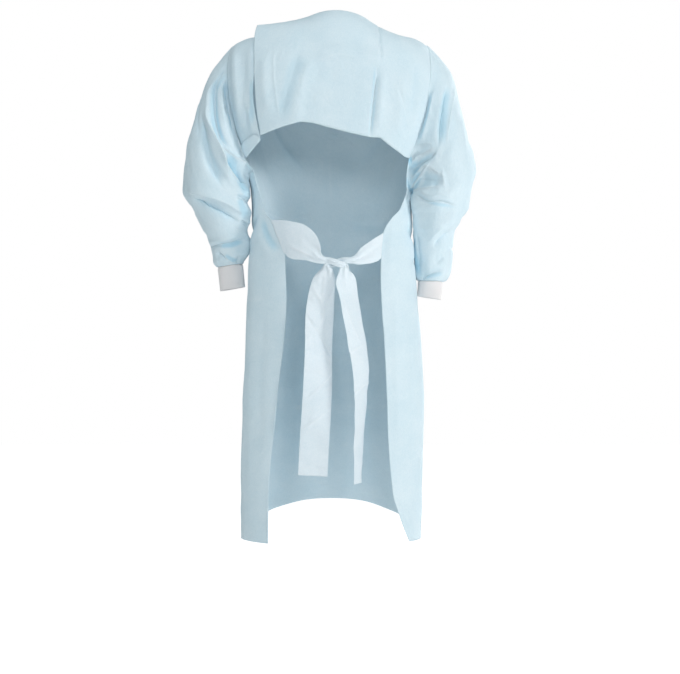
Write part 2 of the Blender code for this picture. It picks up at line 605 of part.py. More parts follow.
def sleeve(name, side, look):
    last = len(SLEEVE[side]) - 1.0
    near = np.linspace(0, SLEEVE_HEAD_ROWS, HEAD_RINGS + 1)[:-1]
    rings = round((last - SLEEVE_HEAD_ROWS) / SLEEVE_STEP[side]) + 1
    at = np.concatenate([near, np.linspace(SLEEVE_HEAD_ROWS, last, rings)])[:, None]
    turn = turn_of(np.arange(TURNS))[None, :]
    at, turn = np.broadcast_arrays(at, turn)
    points = sleeve_points(side, at, turn)
    points[0] = trimmed(points[0], points[1], SLEEVE_GAP)
    faces = grid_faces(*points.shape[:2], closed=True)
    return cloth(name, points, faces if side == RIGHT else [f[::-1] for f in faces], look)


def cuff(name, side, look):
    table = np.vstack([SLEEVE[side][-1], CUFF[side]])
    at = np.arange(len(table), dtype=float)[:, None]
    at, turn = np.broadcast_arrays(at, turn_of(np.arange(TURNS))[None, :])
    points = tube_ring(table, at, turn, side)
    points[0] = trimmed(points[0], points[1])
    faces = grid_faces(*points.shape[:2], closed=True)
    flip = side == LEFT
    return cloth(name, points, [f[::-1] for f in faces] if flip else faces, look, KNIT_WALL)


def knot_strand(side):
    """A tie's way through the half knot: a helix round the knot's level axis."""
    t = np.linspace(0, 1, KNOT_STEPS)
    along = KNOT_CENTRE[0] + side * KNOT_LENGTH * (0.5 - t)
    angle = math.pi / 2 - side * 2 * math.pi * KNOT_TURNS * t
    y = KNOT_CENTRE[1] - KNOT_RADIUS * np.cos(angle)
    z = KNOT_CENTRE[2] + KNOT_RADIUS * np.sin(angle)
    rows = np.zeros((KNOT_STEPS, 8))
    rows[:, 0], rows[:, 1], rows[:, 2] = along, y, z
    rows[:, 3] = rows[:, 4] = 2 * ROPE_RADIUS
    rows[:, 6], rows[:, 7] = -np.cos(angle), np.sin(angle)
    return rows


def tie_levels(side):
    """The levels of the body at which a tie's upper and lower edges meet the panel."""
    return np.interp([-z for z in TIE_ROOT_Z[side]], -BODY[:, 0], LEVELS)


def tie_root(side):
    """First row of a tie, along the body panel's back edge."""
    top, bottom = [body(panel_edge_angle(side, level), level) for level in tie_levels(side)]
    centre = (top + bottom) / 2 - (WALL / 2) * np.array([0, 1, 0])
    across = top - bottom
    width = np.linalg.norm(across)
    return np.array([*centre, width - TIE_TRIM, TIE_WALL, *(across / width)])


def tie(name, side, look):
    """A tie: sewn to the panel, gathered through the knot, and hanging flat below it."""
    rows = np.vstack([tie_root(side), TIE_BANDS[side], knot_strand(side), TIE_TAILS[side]])
    first_step = rows[1, :3] - rows[0, :3]
    rows[0, :3] += first_step / np.linalg.norm(first_step) * TIE_CLEARANCE
    length = np.concatenate([[0], np.cumsum(np.linalg.norm(np.diff(rows[:, :3], axis=0), axis=1))])
    knot_from, knot_to = length[1 + len(TIE_BANDS[side])], length[-len(TIE_TAILS[side]) - 1]
    in_knot = np.linspace(knot_from, knot_to, KNOT_RINGS)
    outside = TIE_RINGS - len(in_knot)
    share = knot_from / (knot_from + length[-1] - knot_to)
    band_rings = max(LEAST_BAND_RINGS, round(outside * share))
    at = np.concatenate([np.linspace(0, knot_from, band_rings)[:-1], in_knot,
                         np.linspace(knot_to, length[-1], outside - band_rings + 2)[1:]])
    path = curve(length, rows, at)
    centre, width, thickness, across = path[:, :3], path[:, 3], path[:, 4], path[:, 5:]
    forward = np.gradient(centre, at, axis=0)
    forward /= np.linalg.norm(forward, axis=1, keepdims=True)
    squared = ease(at / TIE_SQUARE_BY)[:, None]
    across -= (across * forward).sum(1, keepdims=True) * forward * squared
    across /= np.linalg.norm(across, axis=1, keepdims=True)
    over = np.cross(forward, across)
    over /= np.linalg.norm(over, axis=1, keepdims=True)
    around = np.arange(TIE_POINTS) * 2 * math.pi / TIE_POINTS
    wide, thick = power(np.cos(around), TIE_EDGES[0]), power(np.sin(around), TIE_EDGES[1])
    points = (centre[:, None]
              + across[:, None] * (wide[:, None] * width[:, None, None] / 2)
              + over[:, None] * (thick[:, None] * thickness[:, None, None] / 2))
    faces = [face[::-1] for face in grid_faces(len(at), TIE_POINTS, closed=True)]
    faces.append(tuple(range(TIE_POINTS)))
    last = (len(at) - 1) * TIE_POINTS
    faces.append(tuple(last + i for i in reversed(range(TIE_POINTS))))
    return solid(name, points, [face[::-1] for face in faces], look)


def build():
    for old in list(bpy.data.objects):
        bpy.data.objects.remove(old)
    sky = material("sky_cloth", SKY_CLOTH)
    pale = material("pale_tie", PALE_TIE)
    knit = material("white_knit", WHITE_KNIT)
    body_panel(sky)
    yoke(sky)
    back_left(sky)
    for side, word in ((LEFT, "left"), (RIGHT, "right")):
        sleeve("sleeve_" + word, side, sky)
        cuff("cuff_" + word, side, knit)
        tie("tie_" + word, side, pale)


build()
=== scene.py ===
# Looks of the procedure gown: thin cloth with its folds, seams, knitted cuffs and knotted ties.
# Metres, +Z up. The front of the gown faces -Y, so +X is the wearer's left.

import itertools
import math

import bpy
import numpy as np
from mathutils import Matrix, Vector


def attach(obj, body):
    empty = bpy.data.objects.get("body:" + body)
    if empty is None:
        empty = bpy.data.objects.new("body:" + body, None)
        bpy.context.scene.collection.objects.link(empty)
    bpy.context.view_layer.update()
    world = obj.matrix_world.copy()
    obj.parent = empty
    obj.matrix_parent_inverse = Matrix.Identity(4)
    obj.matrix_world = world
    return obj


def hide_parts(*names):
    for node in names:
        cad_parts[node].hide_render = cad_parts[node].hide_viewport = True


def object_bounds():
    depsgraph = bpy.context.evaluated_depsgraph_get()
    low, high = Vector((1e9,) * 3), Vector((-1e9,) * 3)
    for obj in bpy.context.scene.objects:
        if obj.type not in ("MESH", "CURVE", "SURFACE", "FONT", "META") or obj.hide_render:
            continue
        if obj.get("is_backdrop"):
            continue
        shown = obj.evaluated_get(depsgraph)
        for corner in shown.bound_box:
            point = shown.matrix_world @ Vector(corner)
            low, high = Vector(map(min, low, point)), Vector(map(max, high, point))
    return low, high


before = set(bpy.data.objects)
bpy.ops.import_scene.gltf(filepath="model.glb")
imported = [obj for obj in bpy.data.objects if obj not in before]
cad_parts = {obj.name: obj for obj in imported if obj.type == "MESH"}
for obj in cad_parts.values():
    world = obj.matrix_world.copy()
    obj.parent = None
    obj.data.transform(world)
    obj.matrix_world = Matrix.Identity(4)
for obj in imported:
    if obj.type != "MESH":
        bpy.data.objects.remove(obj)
CAD_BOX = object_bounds()

# Thicknesses and small gaps
CLOTH = 0.0005  # thickness of the nonwoven cloth
KNIT = 0.0013
SEAM = 0.0001  # from a piece's edge to the seam line
TIE_THICKNESS = 0.0013

LEFT, RIGHT = 1, -1

# The worn body, ring by ring from the neck to the hem. A ring has one height at its sides, one
# in front and one behind; square is the power that makes it boxier than an ellipse. Columns:
# side_z, front_z, back_z, half_width, front_y, back_y, square, centre_x
BODY = np.array([
    (0.000, -0.078, 0.024, 0.083, -0.080, 0.064, 1.00, -0.0125),
    (-0.018, -0.100, 0.004, 0.122, -0.104, 0.084, 0.97, -0.008),
    (-0.028, -0.125, -0.025, 0.160, -0.121, 0.099, 0.93, -0.004),
    (-0.035, -0.150, -0.060, 0.197, -0.133, 0.110, 0.90, 0.000),
    (-0.058, -0.178, -0.100, 0.229, -0.141, 0.117, 0.87, 0.002),
    (-0.105, -0.208, -0.145, 0.245, -0.147, 0.121, 0.85, 0.003),
    (-0.175, -0.245, -0.205, 0.241, -0.151, 0.122, 0.84, 0.003),
    (-0.250, -0.285, -0.265, 0.222, -0.153, 0.121, 0.84, 0.003),
    (-0.330, -0.335, -0.330, 0.193, -0.155, 0.117, 0.84, 0.002),
    (-0.420, -0.420, -0.420, 0.184, -0.157, 0.110, 0.84, -0.002),
    (-0.530, -0.530, -0.530, 0.190, -0.158, 0.106, 0.84, -0.003),
    (-0.640, -0.640, -0.641, 0.196, -0.160, 0.106, 0.84, -0.004),
    (-0.760, -0.755, -0.762, 0.203, -0.163, 0.108, 0.84, -0.007),
    (-0.880, -0.860, -0.883, 0.208, -0.165, 0.110, 0.84, -0.006),
    (-1.000, -0.960, -1.004, 0.209, -0.167, 0.113, 0.84, -0.003),
    (-1.095, -1.035, -1.101, 0.208, -0.169, 0.115, 0.84, -0.002),
    (-1.178, -1.102, -1.186, 0.207, -0.171, 0.117, 0.84, -0.001),
])
LEVELS = np.arange(len(BODY))
RING_DROP = 1.6  # power by which a ring's height leaves its sides' for the front's and back's
SHOULDER_LEVEL = 3.6  # row of BODY where the shoulder seam ends in the armhole
HEM_LEVEL = 16.0

# The armhole seam: turn in degrees from the shoulder, down the back, under the arm and up the
# front; behind is how many degrees behind the side of the body it runs, level the body's row.
ARMHOLE_TURNS = (0, 30, 60, 90, 120, 135, 146.25, 180, 210, 225, 240, 270, 300, 330, 360)
ARMHOLE_BEHIND = {
    LEFT: (0, 15, 21, 21, 18, 18, 26, 0, -19, -25, -29, -31, -25, -14, 0),
    RIGHT: (0, 15, 22, 25, 26.5, 26, 23, 0, -19, -25, -29, -31, -25, -14, 0),
}
ARMHOLE_LEVEL = {
    LEFT: (3.6, 4.3, 5.3, 6.35, 7.35, 7.86, 8.06, 8.17, 7.85, 7.5, 7.05, 6.05, 5.05, 4.2, 3.6),
    RIGHT: (3.6, 4.3, 5.3, 6.35, 7.3, 7.72, 8.55, 8.60, 8.00, 7.5, 7.05, 6.05, 5.05, 4.2, 3.6),
}
JOIN_TURN = 225.0  # where the front of the armhole meets the lower block of the body panel
YOKE_TURN = 135.0  # the yoke's lower corner on the armhole
PANEL_TURN = 146.25  # the top of the body panel's back edge on the armhole

# The body panel's free back edge: height, and distance from the centre plane on that side.
PANEL_EDGE = {
    LEFT: (
        (-1.185, -1.075, -1.003, -0.931, -0.859, -0.787, -0.715, -0.643, -0.553, -0.531, -0.4544,
         -0.440, -0.417, -0.390, -0.365, -0.330),
        (0.1425, 0.1412, 0.1367, 0.1290, 0.1225, 0.1140, 0.1055, 0.1010, 0.1035, 0.1041, 0.1333,
         0.1460, 0.1536, 0.1615, 0.1685, 0.1750),
    ),
    RIGHT: (
        (-1.180, -1.147, -1.111, -1.075, -1.039, -0.931, -0.859, -0.733, -0.625, -0.542, -0.468,
         -0.446, -0.433, -0.411, -0.388, -0.370),
        (0.1800, 0.1660, 0.1540, 0.1420, 0.1375, 0.1300, 0.1277, 0.1220, 0.1145, 0.1142, 0.1254,
         0.1412, 0.1542, 0.1652, 0.1740, 0.1780),
    ),
}
TIE_ROOT_Z = {LEFT: (-0.4544, -0.5310), RIGHT: (-0.4840, -0.5400)}

# The yoke's lower edge, and the slit edges beside it, read across the back.
YOKE_HEM_X = (-0.1820, -0.1682, -0.1344, -0.1119, -0.0894, -0.0444, 0.0006, 0.0411, 0.0681,
              0.1019, 0.1356, 0.1575)
YOKE_HEM_Z = (-0.3130, -0.3105, -0.2879, -0.2705, -0.2699, -0.2609, -0.2496, -0.2384, -0.2361,
              -0.2451, -0.2564, -0.2645)
YOKE_LIFT_X = (0.050, 0.080, 0.115, 0.145, 0.170)  # the free corner stands above the shoulder
YOKE_LIFT_Z = (0.000, 0.006, 0.016, 0.024, 0.030)
YOKE_FREE = (0.060, 0.110)  # across these x the yoke's top edge leaves the shoulder seam
YOKE_FREE_LEVELS = 0.55  # how far behind the seam its free corner starts
YOKE_LIFT_SHARE = 0.75  # share of the slit's length over which that corner settles
YOKE_OVER = (0.004, 0.006)  # how far the yoke lies over the slit's edge, and its hem over the ties
YOKE_EDGE_X = (0.1660, 0.1720, 0.1720, 0.1675, 0.1575)  # at even steps from top to bottom
SLIT_EDGE_X = (0.1570, 0.1620, 0.1690, 0.1730, 0.1570)  # its upper half lies under the yoke
BACK_LEFT_HEM_X = (0.1550, 0.1800, 0.2025)
BACK_LEFT_HEM_Z = (-0.2700, -0.2960, -0.3190)
FLAP_BEND = 0.0016  # radius of the bend where the lower end of the left back piece turns out
FLAP_X = (0.158, 0.166, 0.185, 0.198, 0.2035)
FLAP_WIDTH = (0.006, 0.022, 0.028, 0.021, 0.006)
FLAP_UP_ROWS = 5  # rows above that end which give the way back up
FLAP_BOW = 0.22  # of the flap's width, four times how far it bows out halfway

# Sleeves, ring by ring from the armhole to the cuff, on the wearer's side of each: the outer
# and inner points of a ring as seen from behind, and how far it reaches forwards and back:
# outer_x, outer_z, inner_x, inner_z, front_y, back_y
SLEEVE = {
    LEFT: np.array([
        (0.216, -0.046, 0.189, -0.358, -0.056, 0.052),
        (0.252, -0.073, 0.192, -0.366, -0.072, 0.066),
        (0.277, -0.112, 0.195, -0.373, -0.080, 0.077),
        (0.295, -0.155, 0.196, -0.379, -0.084, 0.084),
        (0.310, -0.200, 0.197, -0.385, -0.085, 0.088),
        (0.321, -0.244, 0.197, -0.392, -0.084, 0.090),
        (0.330, -0.288, 0.198, -0.400, -0.083, 0.091),
        (0.335, -0.329, 0.198, -0.411, -0.082, 0.091),
        (0.339, -0.364, 0.199, -0.425, -0.082, 0.088),
        (0.341, -0.388, 0.199, -0.440, -0.083, 0.083),
        (0.328, -0.408, 0.200, -0.455, -0.085, 0.074),
        (0.309, -0.440, 0.200, -0.471, -0.086, 0.062),
        (0.292, -0.476, 0.198, -0.489, -0.085, 0.046),
        (0.281, -0.504, 0.197, -0.507, -0.083, 0.030),
        (0.274, -0.528, 0.198, -0.525, -0.082, 0.018),
        (0.271, -0.546, 0.202, -0.538, -0.080, 0.007),
        (0.262, -0.556, 0.204, -0.548, -0.076, -0.006),
    ]),
    RIGHT: np.array([
        (0.213, -0.048, 0.188, -0.396, -0.056, 0.050),
        (0.249, -0.073, 0.192, -0.401, -0.072, 0.064),
        (0.275, -0.108, 0.195, -0.406, -0.080, 0.074),
        (0.290, -0.146, 0.196, -0.410, -0.084, 0.080),
        (0.299, -0.186, 0.197, -0.414, -0.085, 0.084),
        (0.307, -0.226, 0.197, -0.419, -0.084, 0.087),
        (0.316, -0.264, 0.197, -0.425, -0.083, 0.089),
        (0.327, -0.302, 0.198, -0.431, -0.082, 0.089),
        (0.333, -0.340, 0.198, -0.439, -0.082, 0.087),
        (0.327, -0.366, 0.199, -0.448, -0.083, 0.083),
        (0.322, -0.392, 0.199, -0.458, -0.084, 0.077),
        (0.318, -0.424, 0.200, -0.472, -0.085, 0.068),
        (0.302, -0.450, 0.200, -0.488, -0.085, 0.057),
        (0.286, -0.474, 0.200, -0.505, -0.084, 0.045),
        (0.284, -0.503, 0.200, -0.526, -0.083, 0.033),
        (0.282, -0.536, 0.201, -0.549, -0.082, 0.021),
        (0.278, -0.566, 0.201, -0.570, -0.080, 0.011),
        (0.269, -0.586, 0.201, -0.584, -0.079, 0.002),
        (0.258, -0.589, 0.203, -0.587, -0.074, -0.006),
    ]),
}
SLEEVE_HEAD_ROWS = 2.0  # rows over which the sleeve leaves the body's form for its own
HEAD_STIFFNESS = 0.7  # how far it keeps to that form, as a share of the way to its own
UNDERARM_SHARE = 0.05  # of that stiffness under the arm, where the tube leaves at once
SMALL_STEP = 0.05  # share of the way to the armhole's middle that gives the form's direction
ARMHOLE_MIDDLE = (-2.0, 5.9)  # degrees behind the side, and level
CUFF_END_ROWS = 2.0  # rows over which the folds fade before the cuff
SLEEVE_SQUARE = 0.92  # power that makes the rings of sleeves and cuffs boxier than ellipses

# Cuffs: rows after the seam, which is the sleeve's last row, down to the wrist.
CUFF = {
    LEFT: np.array([
        (0.2590, -0.5750, 0.2015, -0.5665, -0.0745, -0.0085),
        (0.2572, -0.5930, 0.2000, -0.5840, -0.0750, -0.0110),
        (0.2560, -0.6110, 0.1990, -0.6015, -0.0760, -0.0130),
    ]),
    RIGHT: np.array([
        (0.2570, -0.6040, 0.2020, -0.6000, -0.0720, -0.0090),
        (0.2565, -0.6180, 0.2010, -0.6120, -0.0725, -0.0110),
        (0.2560, -0.6310, 0.2000, -0.6230, -0.0730, -0.0130),
    ]),
}
CUFF_RIBS = 84
RIB_DEPTH = 0.00045
RIB_SWAY = (12, 90)  # how far the ribs sway, in degrees of a rib, and that wave's degrees in a row
RIBS_START_SHARE = 1 / 12  # share of the cuff's length over which they start
CUFF_SEWN_IN, CUFF_SEWN_SHARE = 0.0012, 0.05  # drawn in at the seam, and share of the length
CUFF_BULGE = (0.0010, 3, 40)  # height halfway along, how many round the cuff, start in degrees

# Ties: middle line, how wide the tie is there, how thick, and which way its width points:
# x, y, z, width, thickness, across_x, across_y, across_z
TIE_WIDTH = 0.066
TIE_BANDS = {
    LEFT: (
        (0.0960, 0.104, -0.4945, 0.076, 0.0018, 0.20, 0.00, 1.0),
        (0.0760, 0.112, -0.5025, 0.082, 0.0018, 0.05, 0.00, 1.0),
        (0.0560, 0.118, -0.5140, 0.073, 0.0020, 0.10, 0.00, 1.0),
        (0.0420, 0.121, -0.5260, 0.054, 0.0030, 0.20, 0.00, 1.0),
        (0.0300, 0.123, -0.5385, 0.030, 0.0055, 0.20, 0.00, 1.0),
        (0.0180, 0.124, -0.5450, 0.018, 0.0080, 0.10, 0.00, 1.0),
    ),
    RIGHT: (
        (-0.0980, 0.107, -0.5250, 0.048, 0.0022, 0.05, 0.00, 1.0),
        (-0.0780, 0.115, -0.5350, 0.040, 0.0030, 0.00, 0.00, 1.0),
        (-0.0630, 0.120, -0.5430, 0.026, 0.0050, 0.00, 0.00, 1.0),
        (-0.0480, 0.123, -0.5460, 0.015, 0.0080, 0.00, 0.00, 1.0),
    ),
}
TIE_TAILS = {
    # the wearer's left tie leaves the knot on the right, and the other one on the left
    LEFT: (
        (-0.0315, 0.127, -0.5690, 0.024, 0.0080, -1.00, -0.30, 0.0),
        (-0.0330, 0.125, -0.5850, 0.046, 0.0045, -0.90, -0.45, 0.0),
        (-0.0400, 0.122, -0.6180, 0.060, 0.0022, -0.72, -0.69, 0.0),
        (-0.0500, 0.121, -0.6740, TIE_WIDTH, 0.0018, -0.62, -0.78, 0.0),
        (-0.0600, 0.120, -0.7330, TIE_WIDTH, 0.0018, -0.62, -0.78, 0.0),
        (-0.0670, 0.119, -0.7800, TIE_WIDTH, 0.0018, -0.58, -0.81, 0.0),
        (-0.0686, 0.118, -0.8590, TIE_WIDTH, 0.0018, -0.42, -0.90, 0.0),
        (-0.0642, 0.118, -0.9500, TIE_WIDTH, 0.0018, -0.32, -0.95, 0.0),
        (-0.0608, 0.118, -1.0460, TIE_WIDTH, 0.0018, -0.25, -0.97, 0.0),
    ),
    RIGHT: (
        (0.0080, 0.120, -0.5690, 0.030, 0.0080, 1.0, -0.10, 0.0),
        (0.0112, 0.121, -0.5840, 0.048, 0.0050, 1.0, -0.10, 0.0),
        (0.0175, 0.122, -0.6100, 0.056, 0.0030, 1.0, -0.05, 0.0),
        (0.0220, 0.122, -0.6440, 0.061, 0.0020, 1.0, 0.05, 0.0),
        (0.0262, 0.121, -0.7400, TIE_WIDTH, 0.0018, 0.9, 0.40, 0.0),
        (0.0297, 0.120, -0.8585, TIE_WIDTH, 0.0018, 1.0, 0.20, 0.03),
        (0.0353, 0.119, -0.9480, TIE_WIDTH, 0.0018, 1.0, 0.00, 0.06),
        (0.0393, 0.118, -1.0290, TIE_WIDTH, 0.0018, 1.0, 0.00, 0.10),
    ),
}
GATHERED_WIDTH = 0.0110  # a tie gathered up beside the knot
KNOT_CENTRE = np.array([-0.013, 0.124, -0.5515])
KNOT_LENGTH = 0.040
KNOT_RADIUS = 0.0054  # from the knot's axis to the middle of each gathered tie
KNOT_STEPS = 9
KNOT_TURNS = 0.5  # seen from behind, the left strand lies over the right one
KNOT_BAND = (0.0150, 0.0072)  # height and thickness of each strand there
KNOT_PLEATS = 4
TIE_SQUARE_BY = 0.04  # along a tie, from its slanting seam to where its rings lie square to it
TIE_POINTS = 64  # round each ring
TIE_SQUARE = (0.9, 0.7)  # powers that make a ring boxier, across its width and its thickness
TIE_FLAT = 0.0018  # thickness in these tables that stands for TIE_THICKNESS
TIE_CREASES_START = 0.02  # along a tie, from its seam to where its creases are full
# Weights of gathered times ungathered, and of gathered alone, in the depth of the pleats
PLEAT_DEPTH = (0.0066, 0.0010)
PLEAT_SWAY = (0.05, 31, 2.2, 1)  # how far they sway, waves along and across, start across
PLEAT_UNEVEN = (0.25, 5, 9)  # share of their height that varies, waves across and along

# Big soft folds of a sleeve, each along a line from one (turn, row) to another, with its half
# width and how far the cloth stands out (or, below 0, in):
# turn, row, end_turn, end_row, half_width, out
SLEEVE_FOLDS = {
    LEFT: (
        (36, 1.9, 79, 3.3, 0.020, -0.0023),
        (79, 3.3, 118, 2.8, 0.020, -0.0018),
        (56, 4.0, 92, 5.5, 0.024, -0.0045),
        (92, 5.5, 120, 6.3, 0.020, -0.0036),
        (99, 4.3, 160, 5.2, 0.022, -0.0027),
        (40, 8.8, 92, 9.1, 0.020, -0.0040),
        (92, 9.1, 165, 9.6, 0.022, -0.0036),
        (45, 12.7, 165, 12.0, 0.017, -0.0027),
        (60, 14.6, 150, 14.2, 0.014, 0.0018),
        (322, 2.0, 268, 3.6, 0.020, -0.0072),
        (296, 4.3, 232, 6.2, 0.024, -0.0096),
        (345, 9.0, 215, 9.4, 0.022, -0.0080),
        (318, 12.2, 222, 11.8, 0.018, -0.0072),
        (20, 6.2, -30, 7.0, 0.030, 0.0018),
    ),
    RIGHT: (
        (18, 2.9, 52, 3.0, 0.018, -0.0027),
        (52, 3.0, 76, 4.6, 0.018, -0.0027),
        (125, 1.4, 98, 3.4, 0.018, 0.0023),
        (142, 2.4, 106, 6.1, 0.020, -0.0020),
        (106, 6.1, 82, 9.1, 0.020, -0.0027),
        (140, 8.6, 89, 10.6, 0.020, -0.0027),
        (89, 10.6, 14, 11.5, 0.020, -0.0036),
        (8, 13.8, 90, 14.8, 0.016, -0.0027),
        (140, 16.2, 40, 15.8, 0.014, -0.0018),
        (318, 2.2, 262, 3.8, 0.020, -0.0072),
        (290, 4.6, 226, 6.4, 0.024, -0.0096),
        (342, 10.4, 216, 10.0, 0.022, -0.0080),
        (315, 14.2, 225, 13.6, 0.018, -0.0064),
        (20, 7.0, -28, 6.6, 0.030, 0.0018),
    ),
}
ROW_LENGTH = 0.036  # of sleeve cloth between two rows of its table
TURN_LENGTH = 0.0013  # round a sleeve, for each degree

# Big soft folds of the body panel: middle in degrees from the front towards the wearer's left,
# half width in degrees, first and last level, and how far the cloth stands out (or in):
# angle, half_angle, from_level, to_level, out
FOLD_ENDS = 0.8  # power by which a fold of the body fades in and out along its length
FOLDS = (
    (-52, 11, 8.5, 17.5, 0.010),
    (-33, 9, 9.0, 18.0, -0.008),
    (-8, 14, 6.5, 15.0, 0.005),
    (24, 9, 9.0, 18.0, -0.008),
    (44, 12, 8.0, 17.5, 0.010),
    (72, 10, 10.0, 17.0, -0.004),
    (-78, 10, 10.0, 17.0, -0.004),
)

